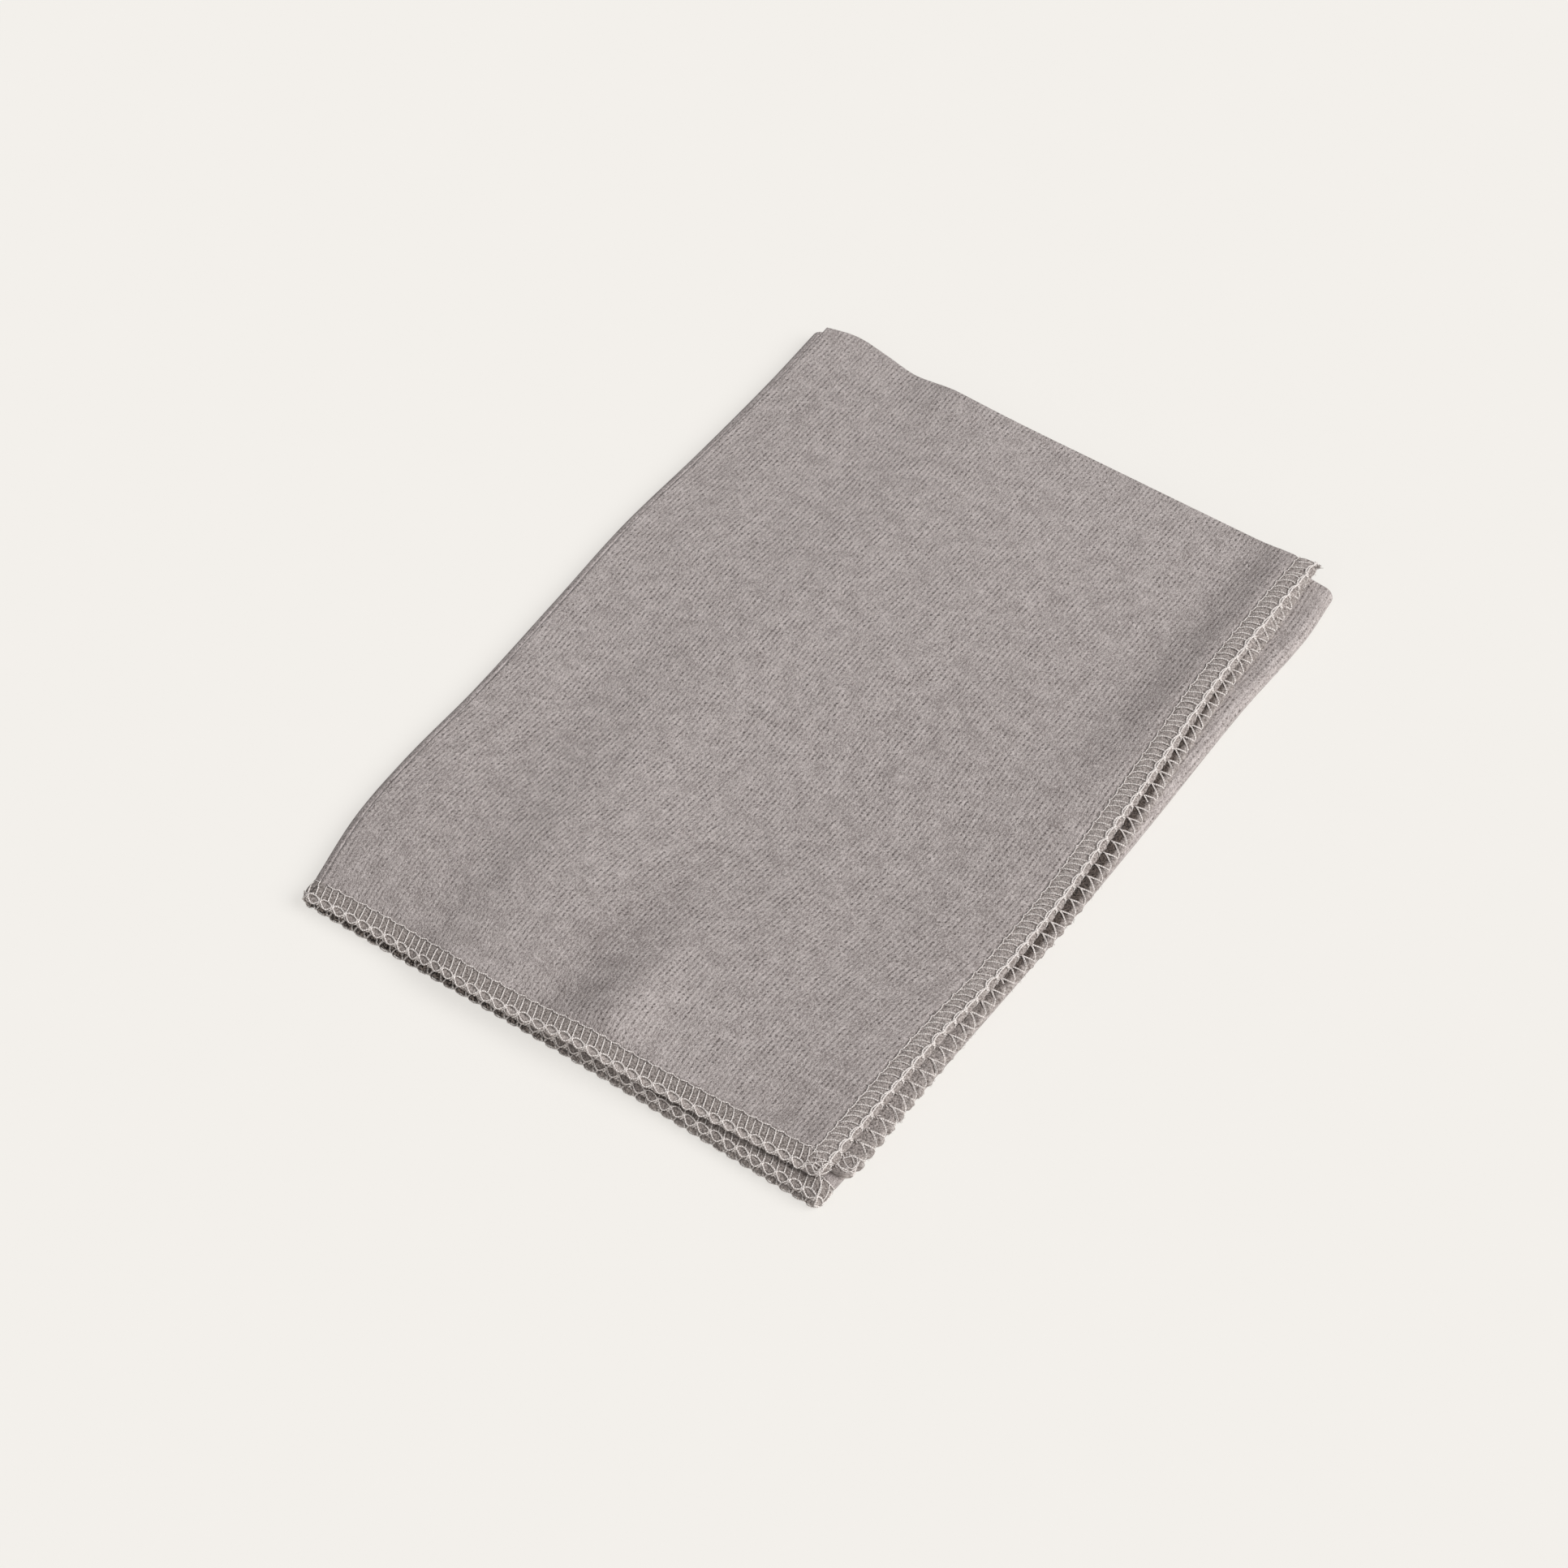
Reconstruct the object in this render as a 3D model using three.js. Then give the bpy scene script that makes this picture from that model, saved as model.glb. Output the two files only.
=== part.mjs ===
// A brushed cotton cleaning cloth with overlocked edges. The square cloth is folded in half
// and then in three, like a letter, so six layers lie on each other.
// Units are millimetres, +Z is up, +X runs along the front edge and +Y to the back folds.

import * as THREE from 'three';

// Driving dimensions of the folded cloth
const TOP_WIDTH = 154; // left fold to the open side of the top panel
const BASE_WIDTH = 160; // left fold to right fold
const FLAP_WIDTH = 112; // right fold to the free side of the tucked-in panel
const PANEL_LENGTH = 224; // front edges to back folds

// Driving dimensions of the fabric and of its overlocked edges
const LAYER = 1.05; // thickness of one layer of fabric
const CLEARANCE = 0.3; // air between layers, and between a panel and its edging
const EDGING_WIDTH = 5.4; // from the needle line to the edge
const FRONT_STITCH = 3.75; // one stitch along a front edge
const SIDE_STITCH = 4.1; // one stitch along the top panel's open side
const LOOP_SWELL = 0.4; // how far each loop of thread swells past the edge

// Soft shape of the top panel
const CLIMB_RUN = 16; // the top panel climbs over the tucked-in panel along this run
const WRINKLE_HEIGHT = 1.1; // a pinched ridge at the front edge
const WRINKLE_RADIUS = 9;
const LOFT = 0.5; // the middle of the top layer lies this much higher than its rim
const LOFT_RUN = 22; // from the rim to the full loft
const SIDE_LIFT = 0.9; // the open side rides up on the thick right fold
const SIDE_LIFT_RUN = 12;

// Divisions of the meshes, in counts
const ACROSS_STEPS = 22;
const LENGTH_STEPS = 11;
const FOLD_STEPS = 8;
const ROLL_STEPS = 4;
const STEPS_A_STITCH = 2;
const PATH_SAMPLES = 200; // a path is measured in this many short chords
const SLOPE_SAMPLES = 400; // a sheet's slope is read over one of this many parts of it

// Sizes that follow
const PITCH = LAYER + CLEARANCE; // from one layer to the next
const ROLL = PITCH / 2; // radius of a back fold, at the middle of the fabric
const FOLD = PITCH; // radius of a side fold, midway between its two layers
const FOLD_REACH = FOLD + ROLL + LAYER / 2; // from a side fold's axis to its outside
const FOLD_HEIGHT = FOLD_REACH; // height of both side folds' axis
const TOP_HEIGHT = FOLD_HEIGHT + FOLD; // midway between the top panel's two layers, at the left
const CLIMB = 2 * PITCH; // two more layers lie under the right part
const FREE_SIDE = BASE_WIDTH - FLAP_WIDTH; // the tucked-in panel's free side, from the left fold

// Outlines. Each row is a share of the length or width that the line runs along, then the line's
// place as a share of the size that it bounds.
const leftFoldShares = [
  [0, 0.023], [0.1, 0.003], [0.2, -0.003], [0.32, 0.002], [0.48, 0], [0.62, -0.002],
  [0.76, 0.01], [0.9, 0.018], [1, 0.019],
];
const topSideShares = [
  [0, 0.988], [0.18, 0.991], [0.3, 1.005], [0.42, 1.011], [0.54, 1.006], [0.65, 1],
  [0.78, 0.992], [0.92, 0.993], [1, 0.99],
];
const underSideShares = [
  [0, 1.025], [0.25, 1.029], [0.38, 1.041], [0.47, 1.041], [0.58, 1.024], [0.7, 1.011],
  [0.9, 1.007], [1, 0.99],
];
const rightFoldShares = [
  [0, 0.966], [0.15, 0.978], [0.42, 0.994], [0.6, 0.999], [0.8, 1.001], [0.93, 1.003],
  [1, 0.985],
];
const topBackShares = [
  [0, 1.004], [0.04, 1.014], [0.09, 1.02], [0.15, 1.014], [0.22, 1.005], [0.4, 0.998],
  [0.6, 0.996], [0.88, 0.995], [1, 1.003],
];
const baseBackShares = [[0, 1], [0.5, 0.992], [0.9, 0.985], [1, 0.976]];
const topFrontShares = [[0, 0.006], [0.2, 0.006], [0.34, -0.004], [0.6, -0.003], [1, 0.002]];
const underFrontShares = [[0, 0.009], [0.5, 0.005], [1, 0.018]];
const baseFrontShares = [[0, 0.009], [0.2, 0.004], [0.5, -0.003], [0.8, -0.009], [1, -0.015]];
const innerFrontShares = [[0, 0.012], [0.5, 0.006], [1, 0]];

// Where the ridge lies across the top panel, how far it runs back from the front edge, and where
// along the panel its open side starts to lift
const WRINKLE_ACROSS_SHARE = 0.55;
const WRINKLE_FADE_SHARE = 0.22;
const SIDE_LIFT_START_SHARE = 0.6;
const SIDE_LIFT_FULL_SHARE = 0.78;

// The brushed cotton, and the cotton under its sewing thread
const cotton = { color: 0xa29894, roughness: 0.95, metalness: 0 };
const sewnCotton = { color: 0xb3a8a2, roughness: 0.9, metalness: 0 };

// A smooth line through the rows of a table
function follow(table, at) {
  const last = table.length - 1;
  let i = 0;
  while (i < last - 1 && at > table[i + 1][0]) {
    i += 1;
  }
  const slope = (k) => {
    const before = table[Math.max(k - 1, 0)];
    const after = table[Math.min(k + 1, last)];
    return (after[1] - before[1]) / (after[0] - before[0]);
  };
  const [start, from] = table[i];
  const [end, to] = table[i + 1];
  const run = end - start;
  const t = THREE.MathUtils.clamp((at - start) / run, 0, 1);
  const bend = t * t * (3 - 2 * t);
  const leave = t * (1 - t) * (1 - t) * slope(i);
  const arrive = t * t * (t - 1) * slope(i + 1);
  return from + bend * (to - from) + run * (leave + arrive);
}

function smooth(from, to, at) {
  return THREE.MathUtils.smoothstep(at, from, to);
}

function mix(from, to, share) {
  return from + (to - from) * share;
}

// Outlines in millimetres: x from the left fold, y from the front edge
const leftFold = (along) => TOP_WIDTH * follow(leftFoldShares, along);
const rightFold = (along) => BASE_WIDTH * follow(rightFoldShares, along);
const topSide = (along) => TOP_WIDTH * follow(topSideShares, along);
const underSide = (along) => TOP_WIDTH * follow(underSideShares, along);
const foldAxis = (along) => leftFold(along) + FOLD_REACH;
const lengthLine = (table, width) => (x) => PANEL_LENGTH * follow(table, x / width);
const topBack = lengthLine(topBackShares, TOP_WIDTH);
const baseBack = lengthLine(baseBackShares, BASE_WIDTH);
const topFront = lengthLine(topFrontShares, TOP_WIDTH);
const underFront = lengthLine(underFrontShares, TOP_WIDTH);
const baseFront = lengthLine(baseFrontShares, BASE_WIDTH);
const innerFront = lengthLine(innerFrontShares, BASE_WIDTH);

// The back line of the stack at the left fold, shared by everything that meets there
const foldBack = (share) => mix(baseBack(0), topBack(0), share);

// A place along a folded pair of layers. The outer layer runs front to back, then comes the roll
// at the back, and the inner layer runs back to front. layer is 1 outside and -1 inside.
const PAIR_STEPS = LENGTH_STEPS + ROLL_STEPS + LENGTH_STEPS;
const ROLL_START = LENGTH_STEPS / PAIR_STEPS;
const ROLL_END = 1 - ROLL_START;

function station(b) {
  if (b <= ROLL_START) {
    return { along: b / ROLL_START, layer: 1, roll: 0 };
  }
  if (b < ROLL_END) {
    const angle = (Math.PI * (b - ROLL_START)) / (ROLL_END - ROLL_START);
    return { along: 1, layer: Math.cos(angle), roll: Math.sin(angle) };
  }
  return { along: (1 - b) / ROLL_START, layer: -1, roll: 0 };
}

// y of a place that is this far along, between a needle line at the front and a back fold
function lengthwise(front, back, place) {
  const rollCentre = back - ROLL - LAYER / 2;
  return mix(front + EDGING_WIDTH, rollCentre, place.along) + ROLL * place.roll;
}

// Height of the top panel, midway between its two layers
function topMiddle(x, along) {
  const climb = CLIMB * smooth(FREE_SIDE - CLIMB_RUN, FREE_SIDE, x);
  const side = smooth(TOP_WIDTH - EDGING_WIDTH - SIDE_LIFT_RUN, TOP_WIDTH - EDGING_WIDTH, x);
  const back = smooth(SIDE_LIFT_START_SHARE, SIDE_LIFT_FULL_SHARE, along);
  return TOP_HEIGHT + climb + SIDE_LIFT * side * back;
}

// What the upper layer of the top panel adds to that height: its loft and its ridge
function swell(x, y, place) {
  const rim = Math.min(x, TOP_WIDTH - x, PANEL_LENGTH - y, y);
  const loft = LOFT * smooth(0, LOFT_RUN, rim);
  const away = (x - TOP_WIDTH * WRINKLE_ACROSS_SHARE) / WRINKLE_RADIUS;
  const fade = 1 - smooth(0, WRINKLE_FADE_SHARE, y / PANEL_LENGTH);
  const ridge = WRINKLE_HEIGHT * Math.exp(-away * away) * fade;
  return (loft + ridge) * Math.max(place.layer, 0) * (1 - place.roll);
}

function topPoint(a, b) {
  const place = station(b);
  const upper = (1 + place.layer) / 2;
  const open = mix(underSide(place.along), topSide(place.along), upper) - EDGING_WIDTH;
  const x = mix(foldAxis(place.along) + CLEARANCE, open, a);
  const front = mix(underFront(x), topFront(x), upper);
  const y = lengthwise(front, mix(foldBack(1), topBack(x), smooth(0, EDGING_WIDTH, x)), place);
  const z = topMiddle(x, place.along) + ROLL * place.layer + swell(x, y, place);
  return new THREE.Vector3(x, y, z);
}

// The left fold: the top panel's two layers go round into the base's two layers
function foldPoint(a, b) {
  const place = station(b);
  const angle = Math.PI * a;
  const radius = FOLD + ROLL * place.layer;
  const front = mix(underFront(0), topFront(0), (1 + place.layer) / 2);
  const below = mix(innerFront(0), baseFront(0), (1 + place.layer) / 2);
  const x = foldAxis(place.along) - radius * Math.sin(angle);
  const y = lengthwise(mix(front, below, a), foldBack(1 - a), place);
  return new THREE.Vector3(x, y, FOLD_HEIGHT + radius * Math.cos(angle));
}

// The base runs right, goes round the right fold, and runs back left as the tucked-in panel
const FLAT_STEPS = (ACROSS_STEPS - FOLD_STEPS) / 2;
const TURN_START = FLAT_STEPS / ACROSS_STEPS;
const TURN_END = 1 - TURN_START;

function basePoint(a, b) {
  const place = station(b);
  const radius = FOLD + ROLL * place.layer;
  const axis = rightFold(place.along) - FOLD_REACH;
  const turn = THREE.MathUtils.clamp((a - TURN_START) / (TURN_END - TURN_START), 0, 1);
  let x = axis + radius * Math.sin(Math.PI * turn);
  if (a < TURN_START) {
    x = mix(foldAxis(place.along) + CLEARANCE, axis, a / TURN_START);
  }
  if (a > TURN_END) {
    x = mix(axis, FREE_SIDE + EDGING_WIDTH, (a - TURN_END) / TURN_START);
  }
  const open = mix(innerFront(x), baseFront(x), (1 + place.layer) / 2);
  const z = FOLD_HEIGHT - radius * Math.cos(Math.PI * turn);
  return new THREE.Vector3(x, lengthwise(open, baseBack(x), place), z);
}

// A closed body from rings of points that all have as many points
function closedBody(rings, name, finish) {
  const size = rings[0].length;
  const places = rings.flat().flatMap((point) => [point.x, point.y, point.z]);
  const faces = [];
  for (let i = 0; i < rings.length - 1; i += 1) {
    for (let j = 0; j < size; j += 1) {
      const here = i * size + j;
      const next = i * size + ((j + 1) % size);
      faces.push(here, next, here + size, next, next + size, here + size);
    }
  }
  const end = (rings.length - 1) * size;
  for (let j = 1; j < size / 2; j += 1) {
    const far = size - j;
    faces.push(j - 1, far % size, j, j, far % size, far - 1);
    faces.push(end + j - 1, end + j, end + (far % size), end + j, end + far - 1, end + (far % size));
  }
  const geometry = new THREE.BufferGeometry();
  geometry.setAttribute('position', new THREE.Float32BufferAttribute(places, 3));
  geometry.setIndex(volume(places, faces) > 0 ? faces : faces.reverse());
  geometry.computeVertexNormals();
  const mesh = new THREE.Mesh(geometry, new THREE.MeshStandardMaterial(finish));
  mesh.name = name;
  return mesh;
}

// Six times the signed volume inside a closed set of triangles
function volume(places, faces) {
  const corner = (k) => new THREE.Vector3().fromArray(places, 3 * faces[k]);
  let sum = 0;
  for (let k = 0; k < faces.length; k += 3) {
    sum += corner(k).dot(corner(k + 1).cross(corner(k + 2)));
  }
  return sum;
}

// Unit normal of a sheet at a and b, from its own small steps
function sheetNormal(point, a, b) {
  const step = 1 / SLOPE_SAMPLES;
  const across = point(Math.min(a + step, 1), b).sub(point(Math.max(a - step, 0), b));
  const along = point(a, Math.min(b + step, 1)).sub(point(a, Math.max(b - step, 0)));
  return across.cross(along).normalize();
}

// Fabric: a sheet through point(a, b) with the layer's thickness
function fabric(name, point, acrossSteps, alongSteps) {
  const rings = [];
  for (let j = 0; j <= alongSteps; j += 1) {
    const upper = [];
    const lower = [];
    for (let i = 0; i <= acrossSteps; i += 1) {
      const a = i / acrossSteps;
      const b = j / alongSteps;
      const half = sheetNormal(point, a, b).multiplyScalar(LAYER / 2);
      upper.push(point(a, b).add(half));
      lower.push(point(a, b).sub(half));
    }
    rings.push([...upper, ...lower.reverse()]);
  }
  return closedBody(rings, name, cotton);
}

// Section of an edging: flat at the needle line and rounded where the loops meet
function edgingRing(root, out, up, width) {
  const half = LAYER / 2;
  const nose = half / 2;
  const outline = [
    [CLEARANCE, -half], [width - half, -half], [width, -nose],
    [width, nose], [width - half, half], [CLEARANCE, half],
  ];
  return outline.map(([far, high]) => root.clone().addScaledVector(out, far).addScaledVector(up, high));
}

// Points along one span of a path, the same length apart
function evenly(path, span) {
  const samples = [];
  const lengths = [0];
  for (let i = 0; i <= PATH_SAMPLES; i += 1) {
    samples.push(path(mix(span.from, span.to, i / PATH_SAMPLES)));
    if (i > 0) {
      lengths.push(lengths[i - 1] + samples[i].distanceTo(samples[i - 1]));
    }
  }
  const total = lengths[PATH_SAMPLES];
  const steps = span.steps ?? STEPS_A_STITCH * Math.round(total / span.stitch);
  const points = [samples[0]];
  let k = 1;
  for (let i = 1; i <= steps; i += 1) {
    const want = (total * i) / steps;
    while (k < PATH_SAMPLES && lengths[k] < want) {
      k += 1;
    }
    const share = (want - lengths[k - 1]) / (lengths[k] - lengths[k - 1]);
    points.push(samples[k - 1].clone().lerp(samples[k], share));
  }
  return points;
}

// An overlocked edging along the spans of a path. With reach it runs on over both corners. The
// spans that have a stitch are sewn: there each stitch has its own loop of thread.
function edging(name, path, out, spans, reach) {
  const points = [];
  const loops = [];
  for (const span of spans) {
    for (const [i, point] of evenly(path, span).entries()) {
      if (i > 0 || points.length === 0) {
        points.push(point);
        loops.push(span.stitch !== undefined && i % STEPS_A_STITCH === 1);
      }
    }
  }
  const last = points.length - 1;
  const heading = (i) => {
    const ahead = points[Math.min(i + 1, last)].clone();
    return ahead.sub(points[Math.max(i - 1, 0)]).normalize();
  };
  const ring = (i, ahead) => {
    const up = out.clone().cross(heading(i)).normalize();
    const root = points[i].clone().addScaledVector(heading(i), ahead);
    return edgingRing(root, out, up, EDGING_WIDTH + (loops[i] ? LOOP_SWELL : 0));
  };
  const rings = points.map((point, i) => ring(i, 0));
  if (reach > 0) {
    rings.unshift(ring(0, -reach));
    rings.push(ring(last, reach));
  }
  return closedBody(rings, name, sewnCotton);
}

const front = new THREE.Vector3(0, -1, 0);
const right = new THREE.Vector3(1, 0, 0);
const left = new THREE.Vector3(-1, 0, 0);

// Spans of the edges: straight ones are sewn, and those that go round a fold take its steps
const sewnFront = [{ from: 0, to: 1, stitch: FRONT_STITCH }];
const plainFront = [{ from: 0, to: 1, steps: 2 * ACROSS_STEPS }];
const roundFold = [{ from: 0, to: 1, steps: FOLD_STEPS }];
const sewnSide = [
  { from: 0, to: ROLL_START, stitch: SIDE_STITCH },
  { from: ROLL_START, to: ROLL_END, steps: ROLL_STEPS },
  { from: ROLL_END, to: 1, stitch: SIDE_STITCH },
];
const plainSide = [
  { from: 0, to: ROLL_START, steps: LENGTH_STEPS },
  { from: ROLL_START, to: ROLL_END, steps: ROLL_STEPS },
  { from: ROLL_END, to: 1, steps: LENGTH_STEPS },
];
const sewnBase = [
  { from: 0, to: TURN_START, stitch: FRONT_STITCH },
  { from: TURN_START, to: TURN_END, steps: FOLD_STEPS },
  { from: TURN_END, to: 1, stitch: FRONT_STITCH },
];
const plainBase = [
  { from: 0, to: TURN_START, steps: FLAT_STEPS },
  { from: TURN_START, to: TURN_END, steps: FOLD_STEPS },
  { from: TURN_END, to: 1, steps: FLAT_STEPS },
];

const cloth = new THREE.Group();
cloth.name = 'cotton_cloth';

cloth.add(fabric('top_panel', topPoint, ACROSS_STEPS, PAIR_STEPS));
cloth.add(fabric('left_fold', foldPoint, FOLD_STEPS, PAIR_STEPS));
cloth.add(fabric('base_and_tucked_panel', basePoint, ACROSS_STEPS, PAIR_STEPS));

const topOuter = (t) => topPoint(t, 0);
const topInner = (t) => topPoint(t, 1);
const topOpen = (t) => topPoint(1, t);
const foldOuter = (t) => foldPoint(t, 0);
const foldInner = (t) => foldPoint(t, 1);
const baseOuter = (t) => basePoint(t, 0);
const baseInner = (t) => basePoint(t, 1);
const tuckedOpen = (t) => basePoint(1, t);

cloth.add(edging('top_front_edging', topOuter, front, sewnFront, 0));
cloth.add(edging('top_inner_edging', topInner, front, plainFront, 0));
cloth.add(edging('top_side_edging', topOpen, right, sewnSide, EDGING_WIDTH));
cloth.add(edging('left_fold_outer_edging', foldOuter, front, roundFold, 0));
cloth.add(edging('left_fold_inner_edging', foldInner, front, roundFold, 0));
cloth.add(edging('base_front_edging', baseOuter, front, sewnBase, 0));
cloth.add(edging('base_inner_edging', baseInner, front, plainBase, 0));
cloth.add(edging('tucked_side_edging', tuckedOpen, left, plainSide, EDGING_WIDTH));

// The origin lies on the surface that the cloth rests on, under the middle of its box
const box = new THREE.Box3().setFromObject(cloth, true);
const middle = box.getCenter(new THREE.Vector3());
cloth.position.set(-middle.x, -middle.y, 0);

export default cloth;
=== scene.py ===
# %% [markdown]
# # A folded cotton cleaning cloth
# The object is one square of brushed cotton knit with an overlocked edge. It was folded in
# half, and then in three like a letter, so six layers of cloth lie on each other. This file
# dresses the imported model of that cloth: each CAD solid is replaced by a finer piece that
# follows the same lines, and everything is in metres in the model's own frame.

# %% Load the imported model
import math

import bpy
import numpy as np
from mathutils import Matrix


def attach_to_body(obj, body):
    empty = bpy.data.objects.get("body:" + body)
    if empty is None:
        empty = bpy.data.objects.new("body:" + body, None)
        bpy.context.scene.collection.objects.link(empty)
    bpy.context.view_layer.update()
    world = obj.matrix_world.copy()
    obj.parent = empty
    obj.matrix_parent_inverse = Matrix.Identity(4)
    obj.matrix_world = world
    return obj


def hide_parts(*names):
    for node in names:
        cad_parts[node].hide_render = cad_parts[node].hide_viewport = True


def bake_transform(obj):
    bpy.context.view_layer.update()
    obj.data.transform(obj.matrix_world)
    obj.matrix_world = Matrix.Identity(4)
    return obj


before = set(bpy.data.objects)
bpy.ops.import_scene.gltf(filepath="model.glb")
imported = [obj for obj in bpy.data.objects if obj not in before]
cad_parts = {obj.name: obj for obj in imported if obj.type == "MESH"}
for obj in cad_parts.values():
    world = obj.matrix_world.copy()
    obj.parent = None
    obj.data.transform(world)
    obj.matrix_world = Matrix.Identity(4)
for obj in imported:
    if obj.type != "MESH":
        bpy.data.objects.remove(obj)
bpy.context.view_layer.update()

# %% [markdown]
# ## The camera
# The photograph looks down on the cloth from its front right side. A camera could be set by
# eye, but the two pairs of parallel edges meet at two vanishing points, which give its
# angles and its lens. It is turned by two angles instead of a target object, so that the
# other views can move it.

# %% Place the camera
CAMERA_AZIMUTH = math.radians(33.6)
CAMERA_ELEVATION = math.radians(50.95)
CAMERA_DISTANCE = 1.2027
CAMERA_LENS = 114.5
CAMERA_TARGET = np.array([0.0, -0.01908, 0.00394])

camera_data = bpy.data.cameras.new("camera")
camera_data.lens = CAMERA_LENS
camera_data.sensor_width = 36.0
camera_data.clip_start = 0.01
camera = bpy.data.objects.new("camera", camera_data)
bpy.context.collection.objects.link(camera)
view_direction = np.array([
    math.sin(CAMERA_AZIMUTH) * math.cos(CAMERA_ELEVATION),
    -math.cos(CAMERA_AZIMUTH) * math.cos(CAMERA_ELEVATION),
    math.sin(CAMERA_ELEVATION),
])
camera.location = CAMERA_TARGET + CAMERA_DISTANCE * view_direction
camera.rotation_euler = (math.pi / 2 - CAMERA_ELEVATION, 0.0, CAMERA_AZIMUTH)
bpy.context.scene.camera = camera
print("camera at", [round(value, 4) for value in camera.location])

# %% [markdown]
# ## The sizes of the folded cloth
# The lines of the cloth are the ones that the CAD model was drawn with, in millimetres on
# the cloth: x runs from the left fold to the right, y from the front edge to the back fold,
# and z up from the table. They could be measured on the solids, but repeating them here
# lets every finer piece lie where its solid lies. A few edges were then moved by a
# millimetre or two, where the photograph's own edge ran beside the drawn one.

# %% Name the sizes
TOP_WIDTH = 154.0
BASE_WIDTH = 160.0
FLAP_WIDTH = 112.0
PANEL_LENGTH = 224.0
LAYER = 1.05
CLEARANCE = 0.3
EDGING_WIDTH = 5.4
FRONT_STITCH = 3.75
SIDE_STITCH = 4.1
PITCH = LAYER + CLEARANCE
ROLL = PITCH / 2
FOLD_RADIUS = PITCH
FOLD_REACH = FOLD_RADIUS + ROLL + LAYER / 2
FOLD_HEIGHT = FOLD_REACH
TOP_HEIGHT = FOLD_HEIGHT + FOLD_RADIUS
CLIMB = 2 * PITCH
FREE_SIDE = BASE_WIDTH - FLAP_WIDTH
CLIMB_RUN = 16.0
LOFT = 0.5
LOFT_RUN = 22.0
WRINKLE_HEIGHT = 1.1
WRINKLE_RADIUS = 9.0
SIDE_LIFT = 0.9
SIDE_LIFT_RUN = 12.0
MIDDLE = np.array([80.265, 112.53, 0.0])
MILLIMETRE = 0.001
print("layers", PITCH, "mm apart, free side of the tucked panel at", FREE_SIDE, "mm")

# %% Name the lines that the real edges follow
LEFT_FOLD = [[0, .022], [.1, -.002], [.2, -.006], [.32, .001], [.48, 0], [.62, -.002],
             [.76, .01], [.9, .018], [1, .019]]
TOP_SIDE = [[0, .990], [.18, 1], [.3, 1.014], [.42, 1.018], [.54, 1.012], [.65, 1.005],
            [.78, .997], [.92, .999], [1, 1.003]]
UNDER_SIDE = [[0, 1.022], [.25, 1.029], [.38, 1.040], [.47, 1.041], [.58, 1.031],
              [.67, 1.021], [.76, 1.013], [.9, 1.010], [1, 1]]
RIGHT_FOLD = [[0, .966], [.15, .978], [.42, .994], [.6, .999], [.8, 1.001], [.93, 1.010],
              [1, 1.004]]
TOP_BACK = [[0, 1.004], [.04, 1.014], [.09, 1.02], [.15, 1.014], [.22, 1.005], [.4, .998],
            [.6, .996], [.88, .994], [1, .994]]
BASE_BACK = [[0, 1], [.5, .992], [.9, .989], [1, .983]]
TOP_FRONT = [[0, .006], [.2, .006], [.34, -.004], [.6, -.003], [1, .002]]
UNDER_FRONT = [[0, .009], [.5, .005], [1, .018]]
BASE_FRONT = [[0, .009], [.2, .0055], [.4, .002], [.6, -.0035], [.8, -.0115], [.92, -.016],
              [1, -.017]]
INNER_FRONT = [[0, .012], [.5, .006], [1, 0]]
KNIT_DRIFT = [[0, 0], [.06, 0], [.17, .9], [.28, 2.8], [.39, 3.9], [.5, 3.9], [.61, 3.9],
              [.72, 4.9], [.83, 5.5], [1, 5.5]]


def mix(low, high, share):
    return low + (high - low) * share


def smooth(low, high, value):
    share = np.clip((value - low) / (high - low), 0.0, 1.0)
    return share * share * (3.0 - 2.0 * share)


def follow(line, at):
    """The height of a smooth line through the named places, read at any place."""
    places, heights = np.array(line, float).T
    last = len(places) - 1
    before = np.maximum(np.arange(last + 1) - 1, 0)
    after = np.minimum(np.arange(last + 1) + 1, last)
    slopes = (heights[after] - heights[before]) / (places[after] - places[before])
    at = np.clip(at, places[0], places[-1])
    step = np.clip(np.searchsorted(places, at, side="right") - 1, 0, len(places) - 2)
    run = places[step + 1] - places[step]
    share = (at - places[step]) / run
    bend = share * share * (3.0 - 2.0 * share)
    leave = share * (1.0 - share) ** 2 * slopes[step]
    arrive = share * share * (share - 1.0) * slopes[step + 1]
    return heights[step] + bend * (heights[step + 1] - heights[step]) + run * (leave + arrive)


fold_wander = np.ptp(follow(LEFT_FOLD, np.linspace(0, 1, 99))) * TOP_WIDTH
print("left fold wanders by", round(float(fold_wander), 2), "mm")

# %% [markdown]
# ## Where each layer runs
# A panel is two layers joined by the rounded fold at the back. A point on it is named by
# how far along it lies, from the front edge to the back, by its layer, 1 for the layer
# whose face shows and -1 for the one under it, and by how far round the back fold it is.
# The layers could be sculpted or simulated, but the photograph shows where each edge and
# fold lies, so one function for each panel turns such a name into a place.

# %% Find the fold lines and the ends of a layer
SIDE_LIFT_SHARES = (0.6, 0.78)


def fold_axis(along):
    return TOP_WIDTH * follow(LEFT_FOLD, along) + FOLD_REACH


def fold_back(share):
    return PANEL_LENGTH * mix(follow(BASE_BACK, 0.0), follow(TOP_BACK, 0.0), share)


def lengthwise(front, back, along, roll):
    return mix(front + EDGING_WIDTH, back - ROLL - LAYER / 2, along) + ROLL * roll


def top_middle(x, along):
    """Height of the top panel's middle, which climbs over the tucked-in panel."""
    climb = CLIMB * smooth(FREE_SIDE - CLIMB_RUN, FREE_SIDE, x)
    side = TOP_WIDTH - EDGING_WIDTH
    lift = SIDE_LIFT * smooth(side - SIDE_LIFT_RUN, side, x) * smooth(*SIDE_LIFT_SHARES, along)
    return TOP_HEIGHT + climb + lift


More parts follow.
